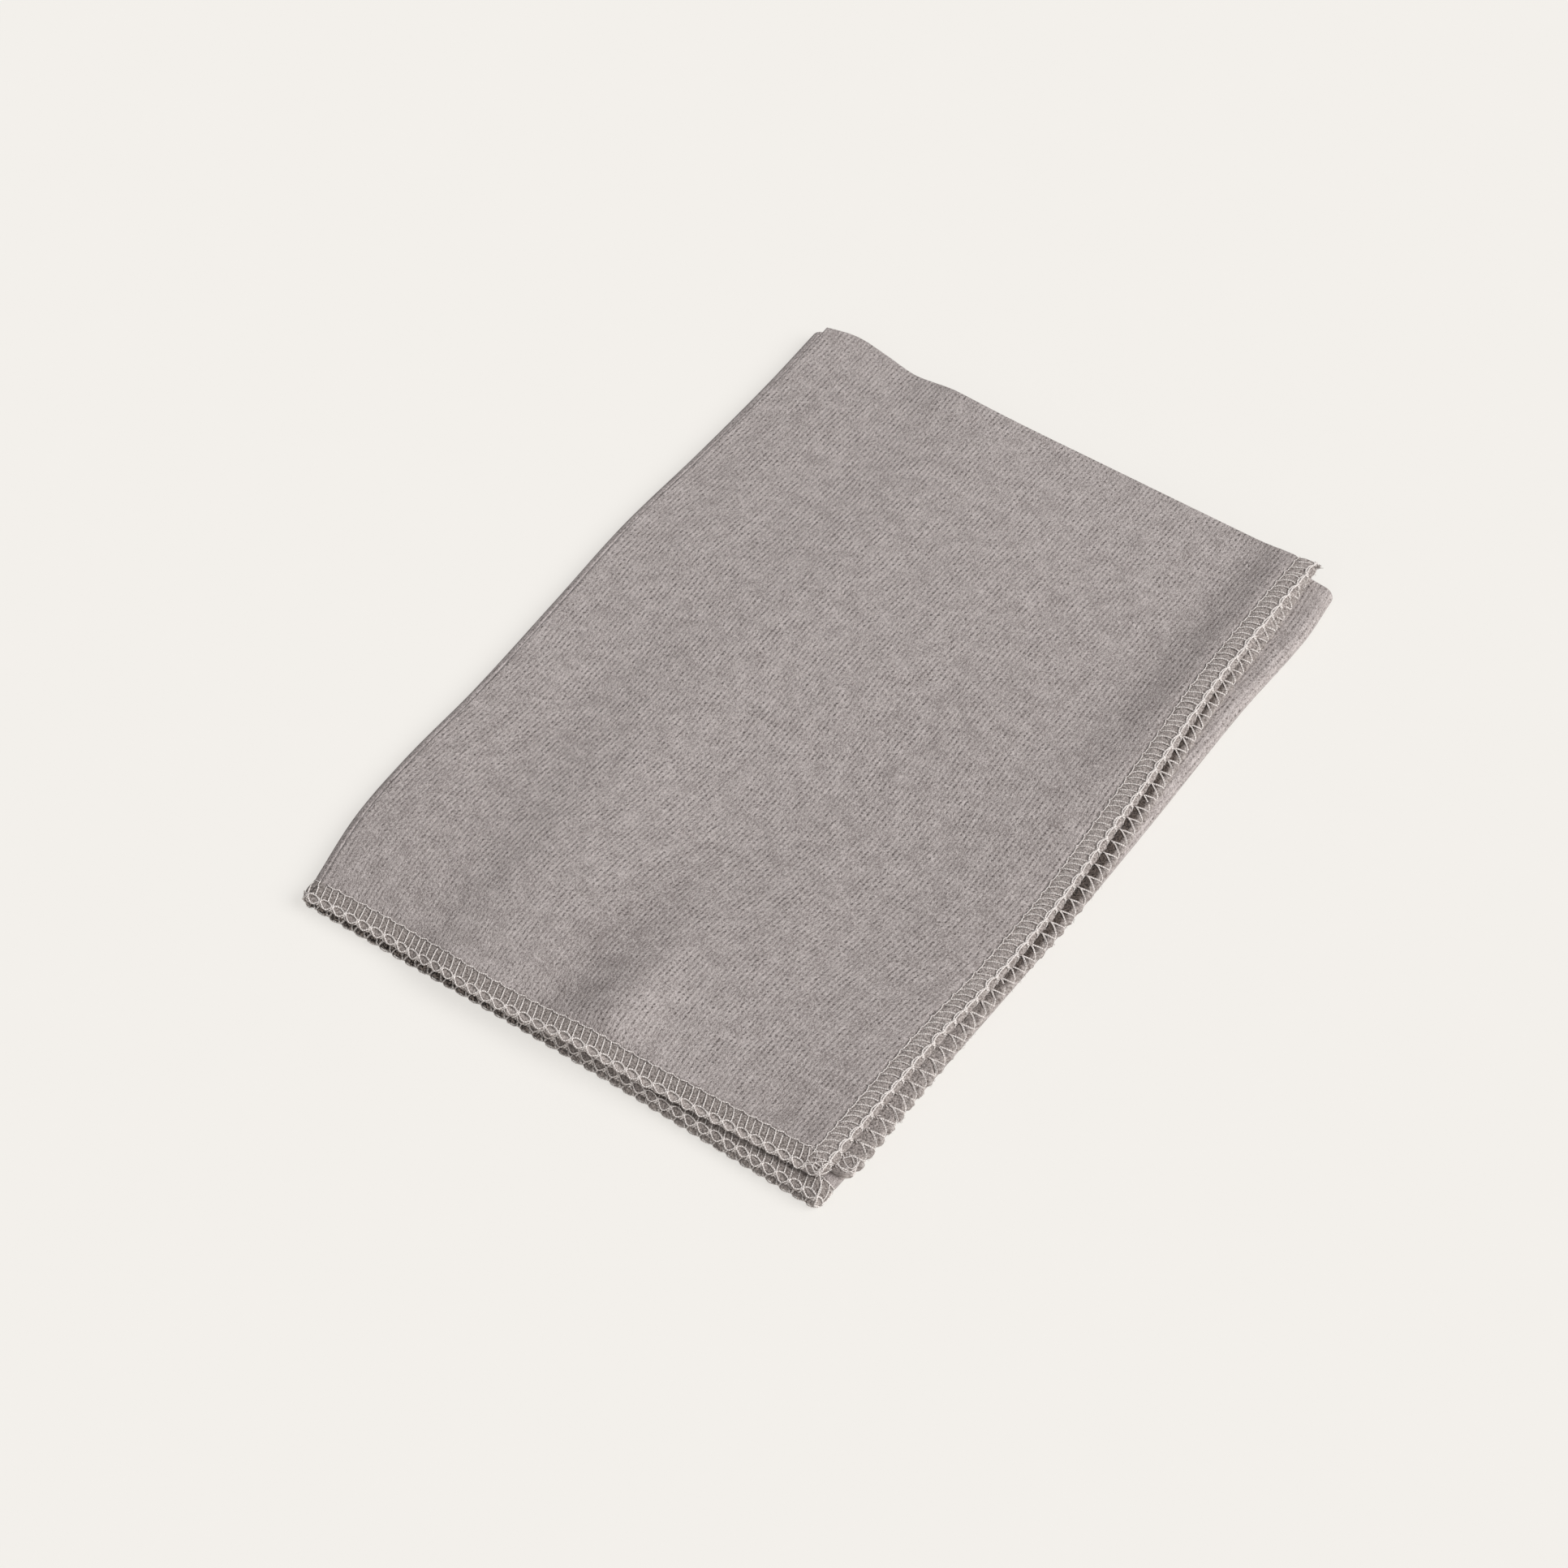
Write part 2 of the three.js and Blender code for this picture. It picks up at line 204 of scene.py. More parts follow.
print("left fold's axis at the front:", round(float(fold_axis(0.0)), 2), "mm")

# %% Soften the face layer
PINCH = (88.5, 0.0, 8.6, 34.0, 2.5)
PINCH_HOLLOW = (72.5, 0.0, 8.0, 34.0, 0.9)
STEP_NEAR_FRONT = (20.0, 58.0)
STEP_NEAR_BACK = (6.0, 66.0)
DIP_START, DIP_LOWEST, DIP_END = 96.0, 134.0, 149.0


def bump(x, y, at_x, at_y, half_x, half_y, height):
    return height * np.exp(-((x - at_x) / half_x) ** 2 - ((y - at_y) / half_y) ** 2)


def settle(x, y):
    """Soft hollows and swellings inside the hems, too shallow for the solid part."""
    pinch = bump(x, y, *PINCH) - bump(x, y, *PINCH_HOLLOW)
    wide = smooth(90.0, 150.0, y)
    foot, crest = (mix(front, back, wide) for front, back in zip(STEP_NEAR_FRONT, STEP_NEAR_BACK))
    step = smooth(foot, crest, x) - smooth(FREE_SIDE - CLIMB_RUN, FREE_SIDE, x)
    step = CLIMB * mix(0.35, 1.0, smooth(25.0, 80.0, y)) * step
    dip = smooth(DIP_START, DIP_LOWEST, x) * (1.0 - smooth(DIP_LOWEST, DIP_END, x))
    side = -dip * (1.5 * smooth(115.0, 165.0, y) + 1.0 * smooth(34.0, 8.0, y))
    waves = 0.16 * np.sin(0.11 * x + 0.031 * y + 0.6) + 0.12 * np.sin(0.19 * x - 0.024 * y + 2.0)
    waves = waves + 0.10 * np.sin(0.063 * y + 0.04 * x) * np.sin(0.09 * x - 1.0)
    front = smooth(EDGING_WIDTH - 1.0, EDGING_WIDTH + 5.0, y)
    edge = smooth(0.0, 6.0, TOP_WIDTH - EDGING_WIDTH - x) * smooth(0.0, 14.0, x - FOLD_REACH)
    return (pinch + step + side + waves) * front * edge * smooth(0.0, 16.0, PANEL_LENGTH - y)


def swell(x, y, layer, roll):
    """How far the face layer stands over its flat middle. The layer under it stays flat."""
    rim = np.minimum(np.minimum(x, TOP_WIDTH - x), np.minimum(PANEL_LENGTH - y, y))
    away = (x - 0.55 * TOP_WIDTH) / WRINKLE_RADIUS
    ridge = WRINKLE_HEIGHT * np.exp(-away * away) * (1.0 - smooth(0.0, 0.22, y / PANEL_LENGTH))
    loft = LOFT * smooth(0.0, LOFT_RUN, rim)
    return (loft + ridge + settle(x, y)) * np.maximum(layer, 0.0) * (1.0 - roll)


print("pinched ridge", round(float(settle(PINCH[0], 12.0)), 2), "mm over the loft near the front")

# %% Find places on the top panel
def top_open_side(layer, along):
    upper = (1.0 + layer) / 2.0
    return TOP_WIDTH * mix(follow(UNDER_SIDE, along), follow(TOP_SIDE, along), upper)


def top_front(x, layer):
    upper = (1.0 + layer) / 2.0
    share = x / TOP_WIDTH
    return PANEL_LENGTH * mix(follow(UNDER_FRONT, share), follow(TOP_FRONT, share), upper)


def top_place(across, along, layer, roll):
    x = mix(fold_axis(along), top_open_side(layer, along) - EDGING_WIDTH, across)
    back = PANEL_LENGTH * follow(TOP_BACK, x / TOP_WIDTH)
    back = mix(fold_back(1.0), back, smooth(0.0, EDGING_WIDTH, x))
    y = lengthwise(top_front(x, layer), back, along, roll)
    z = top_middle(x, along) + ROLL * layer + swell(x, y, layer, roll)
    return np.stack(np.broadcast_arrays(x, y, z), axis=-1)


print("top panel's front right needle corner:", top_place(1.0, 0.0, 1.0, 0.0).round(2))

# %% Find places on the left fold and on the base
UNDER_RUN = 160.0
TURN_RUN = 7.0
OVER_RUN = 103.0
TURN_END = UNDER_RUN + TURN_RUN
BASE_END = TURN_END + OVER_RUN


def base_front(x, layer):
    upper = (1.0 + layer) / 2.0
    share = x / BASE_WIDTH
    return PANEL_LENGTH * mix(follow(INNER_FRONT, share), follow(BASE_FRONT, share), upper)


def fold_place(across, along, layer, roll):
    """across runs round the left fold, from the top panel to the base."""
    radius = FOLD_RADIUS + ROLL * layer
    x = fold_axis(along) - radius * np.sin(math.pi * across)
    front = mix(top_front(0.0, layer), base_front(0.0, layer), across)
    y = lengthwise(front, fold_back(1.0 - across), along, roll)
    z = FOLD_HEIGHT + radius * np.cos(math.pi * across)
    return np.stack(np.broadcast_arrays(x, y, z), axis=-1)


def base_place(distance, along, layer, roll):
    """distance runs over the base from the left fold, round the right fold, to the free side."""
    axis = BASE_WIDTH * follow(RIGHT_FOLD, along) - FOLD_REACH
    radius = FOLD_RADIUS + ROLL * layer
    run = axis - fold_axis(along)
    tucked = axis - FREE_SIDE - EDGING_WIDTH
    under = np.clip(distance / UNDER_RUN, 0.0, 1.0)
    turn = np.clip((distance - UNDER_RUN) / TURN_RUN, 0.0, 1.0)
    over = np.clip((distance - TURN_END) / OVER_RUN, 0.0, 1.0)
    x = fold_axis(along) + run * under - tucked * over + radius * np.sin(math.pi * turn)
    back = PANEL_LENGTH * follow(BASE_BACK, x / BASE_WIDTH)
    y = lengthwise(base_front(x, layer), back, along, roll)
    z = FOLD_HEIGHT - radius * np.cos(math.pi * turn)
    return np.stack(np.broadcast_arrays(x, y, z), axis=-1)


print("tucked panel's needle line at the front:", base_place(BASE_END, 0.0, 1.0, 0.0).round(2))

# %% Choose where the rows of points go
SEAM_ROWS = np.array([0.0, 0.5, 1.1, 1.9, 3.0, 4.4])
SEAM_ZONE = 6.0


def graded(length, step):
    """Shares along a length, close together at both ends, where the seams pinch the cloth."""
    count = int(round((length - 2 * SEAM_ZONE) / step)) + 1
    inside = np.linspace(SEAM_ZONE, length - SEAM_ZONE, count)
    return np.concatenate([SEAM_ROWS, inside, length - SEAM_ROWS[::-1]]) / length


def pair_rows(step=2.0, round_steps=10):
    """Rows up the face layer, round the back fold and down the other layer."""
    up = graded(PANEL_LENGTH - EDGING_WIDTH, step)
    angle = np.linspace(0.0, math.pi, round_steps + 1)[1:-1]
    along = np.concatenate([up, np.ones(len(angle)), up[::-1]])
    layer = np.concatenate([np.ones(len(up)), np.cos(angle), -np.ones(len(up))])
    roll = np.concatenate([np.zeros(len(up)), np.sin(angle), np.zeros(len(up))])
    return along, layer, roll


ROWS = pair_rows()
ROW_COLUMNS = [row[:, None] for row in ROWS]
print("rows over a pair of layers:", len(ROWS[0]))

# %% [markdown]
# ## The flat cloth meshes
# Real cloth has a thickness that shows at every edge. A solidify modifier could give it,
# but the cloth gets thinner at its needle lines, so here each panel is a grid of points on
# the middle of the cloth that is pushed out both ways along its normals. A UV map keeps
# every point's place on the unfolded cloth, in hundreds of millimetres, so one knitted
# material runs without a break over all the folds.

# %% Build a cloth of real thickness from a grid
FLAT_UNIT = 100.0


def grid_normals(points):
    across = np.gradient(points, axis=1)
    down = np.gradient(points, axis=0)
    normals = np.cross(across, down)
    return normals / np.maximum(np.linalg.norm(normals, axis=-1, keepdims=True), 1e-9)


def path_lengths(points, axis):
    steps = np.linalg.norm(np.diff(points, axis=axis), axis=-1)
    start = np.zeros_like(np.take(steps, [0], axis=axis))
    return np.concatenate([start, np.cumsum(steps, axis=axis)], axis=axis)


def mesh_object(name, points, faces, uvs, material):
    mesh = bpy.data.meshes.new(name)
    mesh.from_pydata((np.asarray(points) - MIDDLE) * MILLIMETRE, [], faces)
    mesh.update()
    mesh.shade_smooth()
    layer = mesh.uv_layers.new(name="flat_cloth")
    corners = np.empty(len(mesh.loops), int)
    mesh.loops.foreach_get("vertex_index", corners)
    layer.data.foreach_set("uv", np.asarray(uvs)[corners].astype(np.float32).ravel())
    piece = bpy.data.objects.new(name, mesh)
    bpy.context.collection.objects.link(piece)
    mesh.materials.append(material)
    return piece


def cloth_body(name, middle, flat, half, material):
    """Two skins half a thickness either side of the middle, and a rim that joins them."""
    rows, columns = middle.shape[:2]
    offset = grid_normals(middle) * half[..., None]
    points = np.concatenate([(middle + offset).reshape(-1, 3), (middle - offset).reshape(-1, 3)])
    index = np.arange(rows * columns).reshape(rows, columns)
    outer = np.stack([index[:-1, :-1], index[1:, :-1], index[1:, 1:], index[:-1, 1:]], axis=-1)
    outer = outer.reshape(-1, 4)
    inner = outer[:, ::-1] + rows * columns
    loop = np.concatenate([index[0, :-1], index[:-1, -1], index[-1, :0:-1], index[:0:-1, 0]])
    following = np.roll(loop, -1)
    rim = np.stack([loop, following, following + rows * columns, loop + rows * columns], axis=-1)
    faces = np.concatenate([outer, inner, rim])
    uvs = np.concatenate([flat.reshape(-1, 2)] * 2) / FLAT_UNIT
    return mesh_object(name, points, faces.tolist(), uvs, material)


print("one unit of the UV map is", FLAT_UNIT, "mm of cloth")

# %% Unfold the cloth and thin it at the seams
NEEDLE_SQUEEZE = 0.35
SQUEEZE_RUN = 1.5


def flat_places(run, grid):
    """Each point's place on the unfolded cloth. The knit's columns wander with KNIT_DRIFT."""
    flat_x = run - follow(KNIT_DRIFT, ROWS[0])[:, None]
    flat_y = path_lengths(grid[:, :1], 0) + EDGING_WIDTH
    to_front = np.minimum(flat_y, flat_y[-1] - flat_y + EDGING_WIDTH) - EDGING_WIDTH
    return np.stack(np.broadcast_arrays(flat_x, flat_y), axis=-1), to_front


def seam_thickness(*distances):
    """Half the cloth's thickness, thinner where a needle line is near."""
    near = np.minimum.reduce(np.broadcast_arrays(*distances))
    return LAYER / 2 * mix(NEEDLE_SQUEEZE, 1.0, smooth(0.0, SQUEEZE_RUN, near))


thinnest = 2 * float(seam_thickness(0.0))
print("cloth thickness", LAYER, "mm, at a needle line", round(thinnest, 2), "mm")


# %% [markdown]
# ## The knitted cotton
# The cloth is a brushed knit. Its columns of loops stand 1.27 mm apart and run from front
# to back, and about every millimetre a column shows a small dark hollow where two loops
# part. Brushing raises a fine nap over it. Modelled threads would show all this, but over
# a whole cloth they would be far too many, so a material draws it from the flat cloth's own
# millimetres, and gives it depth with a bump. The material also paints shade into a strip
# beside the open side's hem and into a few soft patches, as shade over shallow slopes and
# hollows of the cloth.

# %% Write helpers for material nodes
class Paint:
    """A material's node tree with short words for the nodes that are used most."""

    def __init__(self, name):
        self.material = bpy.data.materials.new(name)
        self.material.use_nodes = True
        self.tree = self.material.node_tree
        self.shader = self.tree.nodes["Principled BSDF"]

    def node(self, kind, **settings):
        node = self.tree.nodes.new(kind)
        for key, value in settings.items():
            setattr(node, key, value)
        return node

    def feed(self, socket, value):
        if isinstance(value, bpy.types.NodeSocket):
            self.tree.links.new(value, socket)
        else:
            socket.default_value = value

    def maths(self, operation, *values):
        node = self.node("ShaderNodeMath", operation=operation)
        for socket, value in zip(node.inputs, values):
            self.feed(socket, value)
        return node.outputs[0]

    def add(self, first, second):
        return self.maths("ADD", first, second)

    def less(self, first, second):
        return self.maths("SUBTRACT", first, second)

    def times(self, first, second):
        return self.maths("MULTIPLY", first, second)

    def over(self, first, second):
        return self.maths("DIVIDE", first, second)

    def line(self, value, slope, start):
        """The height of a straight line: value times slope, plus start."""
        return self.maths("MULTIPLY_ADD", value, slope, start)

    def weighed(self, *terms):
        """The sum of several values, each times its own weight."""
        total = None
        for value, weight in terms:
            part = self.times(value, weight)
            total = part if total is None else self.add(total, part)
        return total

    def span(self, value, low, high, start=0.0, end=1.0):
        """Runs softly from start to end while the value goes from low to high."""
        node = self.node("ShaderNodeMapRange", interpolation_type="SMOOTHSTEP")
        for socket, entry in zip(node.inputs, (value, low, high, start, end)):
            self.feed(socket, entry)
        return node.outputs[0]

    def noise(self, place, scale, detail=2.0, roughness=0.5):
        node = self.node("ShaderNodeTexNoise")
        self.feed(node.inputs["Vector"], place)
        node.inputs["Scale"].default_value = scale
        node.inputs["Detail"].default_value = detail
        node.inputs["Roughness"].default_value = roughness
        return node.outputs["Fac"]

    def blend(self, share, low, high):
        node = self.node("ShaderNodeMix", data_type="RGBA")
        self.feed(node.inputs["Factor"], share)
        self.feed(node.inputs["A"], low)
        self.feed(node.inputs["B"], high)
        return node.outputs["Result"]

    def axes(self, vector):
        """The three numbers of a vector."""
        node = self.node("ShaderNodeSeparateXYZ")
        self.feed(node.inputs[0], vector)
        return node.outputs

    def flat_cloth(self):
        return self.node("ShaderNodeUVMap", uv_map="flat_cloth").outputs[0]

    def relief(self, height, strength, distance):
        node = self.node("ShaderNodeBump")
        node.inputs["Strength"].default_value = strength
        node.inputs["Distance"].default_value = distance
        self.feed(node.inputs["Height"], height)
        self.feed(self.shader.inputs["Normal"], node.outputs[0])

    def finish(self, colour, roughness, sheen, sheen_roughness):
        self.feed(self.shader.inputs["Base Color"], colour)
        self.shader.inputs["Roughness"].default_value = roughness
        self.shader.inputs["Specular IOR Level"].default_value = 0.25
        self.shader.inputs["Sheen Weight"].default_value = sheen
        self.shader.inputs["Sheen Roughness"].default_value = sheen_roughness


def from_bytes(red, green, blue):
    """A colour as it is read from a picture, turned into Blender's linear numbers."""
    shares = np.array([red, green, blue]) / 255.0
    linear = np.where(shares <= 0.04045, shares / 12.92, ((shares + 0.055) / 1.055) ** 2.4)
    return (*linear.tolist(), 1.0)


def toned(paint, share, tones):
    """A blend from the first tone to the second, both given as they are read from a picture."""
    return paint.blend(share, *(from_bytes(*tone) for tone in tones))


print("cloth colour", [round(value, 3) for value in from_bytes(164, 155, 152)[:3]])

# %% Find the columns and the courses of the knit
WALE = 1.27
COURSE = 0.94
COLUMN_SWAY = 1.3
COLUMN_SHAKE = 0.40
COURSE_JOG = 1.2


def flat_millimetres(paint):
    grow = paint.node("ShaderNodeVectorMath", operation="SCALE")
    paint.feed(grow.inputs[0], paint.flat_cloth())
    grow.inputs["Scale"].default_value = FLAT_UNIT
    return grow.outputs[0]


def knit_grid(paint, place, x, y):
    """Each loop's two numbers, and how far the place lies from the loop's middle."""
    sway = paint.times(paint.less(paint.noise(place, 0.06, 2.0), 0.5), COLUMN_SWAY)
    shake = paint.times(paint.less(paint.noise(place, 0.9, 2.0), 0.5), COLUMN_SHAKE)
    jog = paint.times(paint.less(paint.noise(place, 0.7, 2.0), 0.5), COURSE_JOG)
    column = paint.over(paint.add(paint.add(x, sway), shake), WALE)
    course = paint.over(paint.add(y, jog), COURSE)
    numbers = [paint.maths("FLOOR", value) for value in (column, course)]
    return numbers, [paint.less(paint.maths("FRACT", value), 0.5) for value in (column, course)]


print("ribs", WALE, "mm apart and loops", COURSE, "mm long")

# %% Open the slits between the loops
SLIT_STRAY = 0.34
SLIT_LEAN = 0.22
SLIT_WIDE = 0.30
SLIT_TALL = 0.46
CLOSED_LEFT = (92.0, 58.0)
CLOSED_FRONT = (52.0, 14.0)


def brushed_open(paint, place, x, y):
    """How far the nap leaves the knit open. It covers more of it at the front left."""
    open_knit = paint.span(paint.noise(place, 0.16, 3.0, 0.6), 0.30, 0.62, 0.30, 1.0)
    closed = paint.times(paint.span(x, *CLOSED_LEFT), paint.span(y, *CLOSED_FRONT))
    return paint.times(open_knit, paint.line(closed, -0.22, 1.0))


def knit_slits(paint, numbers, offsets, open_knit):
    """Dark, leaning slits between the loops, each a little out of line and of its own depth."""
    cell = paint.node("ShaderNodeCombineXYZ")
    for socket, number in zip(cell.inputs, numbers):
        paint.feed(socket, number)
    chance = paint.node("ShaderNodeTexWhiteNoise", noise_dimensions="2D")
    paint.feed(chance.inputs["Vector"], cell.outputs[0])
    strays = paint.axes(chance.outputs["Color"])
    inside, rise = (paint.add(offset, paint.line(stray, SLIT_STRAY, -SLIT_STRAY / 2))
                    for offset, stray in zip(offsets, strays))
    wide = paint.over(paint.weighed((inside, WALE), (rise, -SLIT_LEAN * COURSE)), SLIT_WIDE)
    tall = paint.over(rise, SLIT_TALL)
    far = paint.add(paint.times(wide, wide), paint.times(tall, tall))
    pairing = paint.maths("ABSOLUTE", paint.maths("MODULO", paint.add(*numbers), 2.0))
    depth = paint.add(chance.outputs["Value"], paint.times(pairing, 0.22))
    depth = paint.times(paint.span(depth, 0.12, 1.15), open_knit)
    return paint.times(paint.span(far, 1.0, 0.0), depth)


print("slits", 2 * SLIT_WIDE, "by", 2 * SLIT_TALL * COURSE, "mm at most")

# %% Raise the nap
NAP_TURN = math.radians(17.0)


def nap_noise(paint, place):
    """Short fibres that lie along one slanted way."""
    slant = paint.node("ShaderNodeMapping")
    slant.inputs["Rotation"].default_value = (0.0, 0.0, NAP_TURN)
    slant.inputs["Scale"].default_value = (1.0, 0.50, 1.0)
    paint.feed(slant.inputs["Vector"], place)
    return paint.noise(slant.outputs[0], 2.9, 2.0, 0.6)


def winding_lines(paint, place, scale, sharpness):
    """Thin lines where a noise passes its middle, as single fibres wind over the cloth."""
    wander = paint.line(paint.noise(place, scale, 1.0, 0.5), sharpness, -sharpness / 2)
    return paint.less(1.0, paint.maths("ABSOLUTE", wander))


def loose_strands(paint, place):
    strand = paint.span(winding_lines(paint, place, 0.55, 22.0), 0.0, 1.0)
    return paint.times(strand, paint.span(paint.noise(place, 0.35, 1.0), 0.52, 0.60))


print("nap lies", round(math.degrees(NAP_TURN)), "degrees off the columns")

# %% Paint shade in soft patches
# Soft patches of painted shade: the middle, the two half widths and the depth of each.
PAINTED_SHADE_PATCHES = [
    (74.0, 8.0, 19.0, 84.0, 0.21), (150.0, -4.0, 44.0, 60.0, 0.12),
    (8.0, 0.0, 60.0, 110.0, 0.10), (115.0, 100.0, 62.0, 150.0, 0.08),
]
PAINTED_STRIP_SIDE = (122.0, 134.0)
PAINTED_STRIP_BACK = (120.0, 170.0)


def paint_shade_patches(paint, shade, x, y):
    """Paints shade into the colour: along the open side, deeper toward the back, and in soft
    patches.
    """
    strip_shade = paint.times(paint.span(x, *PAINTED_STRIP_SIDE), paint.span(y, *PAINTED_STRIP_BACK, 0.35, 1.0))
    shade = paint.less(shade, paint.times(strip_shade, 0.16))
    for at_x, at_y, half_x, half_y, amount in PAINTED_SHADE_PATCHES:
        across = paint.over(paint.less(x, at_x), half_x)
        along = paint.over(paint.less(y, at_y), half_y)
        patch = paint.add(paint.times(across, across), paint.times(along, along))
        patch = paint.span(patch, 1.0, 0.0)
        shade = paint.less(shade, paint.times(paint.times(patch, patch), amount))
    return shade


# These patches are painted shade.
print("patches of painted shade:", len(PAINTED_SHADE_PATCHES))

# %% Knit the cotton
CLOTH_TONES = ((132, 123, 120), (204, 195, 192))
SLIT_TONE = (88, 80, 76)


def knit_material(name):
    paint = Paint(name)
    place = flat_millimetres(paint)
    x, y, _ = paint.axes(place)
    numbers, offsets = knit_grid(paint, place, x, y)
    open_knit = brushed_open(paint, place, x, y)
    slit = knit_slits(paint, numbers, offsets, open_knit)
    rib = paint.line(paint.maths("COSINE", paint.times(offsets[0], 2.0 * math.pi)), -0.5, 0.5)
    rib = paint.times(rib, open_knit)
    nap = nap_noise(paint, place)
    grain = paint.noise(place, 4.2, 1.0, 0.5)
    fibre = paint.span(winding_lines(paint, place, 1.3, 5.0), 0.55, 1.0)
    haze = paint.noise(place, 0.22, 3.0, 0.60)
    strand = loose_strands(paint, place)
    height = paint.weighed((rib, 0.55), (nap, 1.5), (grain, 0.7), (slit, -1.0), (fibre, 0.3))
    shade = paint.weighed((paint.less(nap, 0.5), 2.6), (paint.less(grain, 0.5), 1.8),
                          (paint.less(rib, 0.3), 0.28), (paint.less(haze, 0.5), 0.95),
                          (fibre, 0.16), (strand, 0.42))
    shade = paint_shade_patches(paint, shade, x, y)
    tone = toned(paint, paint.span(shade, -0.8, 0.8), CLOTH_TONES)
    colour = paint.blend(paint.times(slit, 0.85), tone, from_bytes(*SLIT_TONE))
    paint.relief(height, 0.7, 0.00020)
    paint.finish(colour, 0.95, 0.12, 0.5)
    return paint.material


cotton = knit_material("brushed_cotton_knit")
print("nodes in the knit", len(cotton.node_tree.nodes))

# %% [markdown]
# ## The overlocked edges
# Every open edge is bound by a three-thread overlock stitch. A needle thread runs 5 mm in
# from the edge. A looper thread lies over the face in two rungs a stitch, and joins the
# other looper in a knot near the edge. From there two legs go round the raw edge to the
# back. The threads squeeze the knit, and it swells out between them in soft lumps. A
# picture of stitches on a flat band would be quicker, but its edge would be straight, so
# the fabric and each thread are real shapes. A hem is described by its needle line, the
# way out of the cloth and the side that the face is on. Places on it are named by the
# distance sewn, the share of the way round the edge, from the needle line on the face to
# the one on the back, and the lift off the fabric.

# %% Describe a hem
SECTION = [
    (0.000, -1.60, 0.20), (0.030, -1.00, 0.30), (0.058, -0.45, 0.24), (0.085, 0.00, 0.24),
    (0.112, 0.35, 0.46), (0.165, 1.10, 0.68), (0.250, 2.30, 0.80), (0.330, 3.40, 0.80),
    (0.390, 4.20, 0.68), (0.435, 4.75, 0.46), (0.475, 5.08, 0.12), (0.510, 5.10, -0.22),
    (0.550, 4.72, -0.56), (0.600, 4.05, -0.74), (0.680, 3.00, -0.80), (0.770, 1.90, -0.74),
    (0.860, 0.80, -0.58), (0.915, 0.00, -0.30), (0.955, -0.60, -0.26), (1.000, -1.60, -0.20),
]
NEEDLE_ROUND = 0.085
NEEDLE_BACK = 0.915
KNOT_ROUND = 0.405
NOSE_ROUND = 0.52
BACK_ROUND = 0.80
BACK_SHIFT = 0.28
RUNG_LEAN = 1.35
RUNG_PRESS = 0.22
NEEDLE_PRESS = 0.34
EDGE_LUMP = 0.5
STITCH_STRAY = 0.07
THREAD_RADIUS = 0.14
TABLE_GAP = 0.03
CURL = 1.0
CURL_POWER = 1.6
section_round, section_out, section_high = (np.array(row) for row in zip(*SECTION))
slope_out, slope_high = (np.gradient(row, section_round) for row in (section_out, section_high))
random = np.random.default_rng(20)


def near_whole(turns):
    """How far a number lies from the nearest whole one."""
    return 0.5 - np.abs(turns % 1.0 - 0.5)


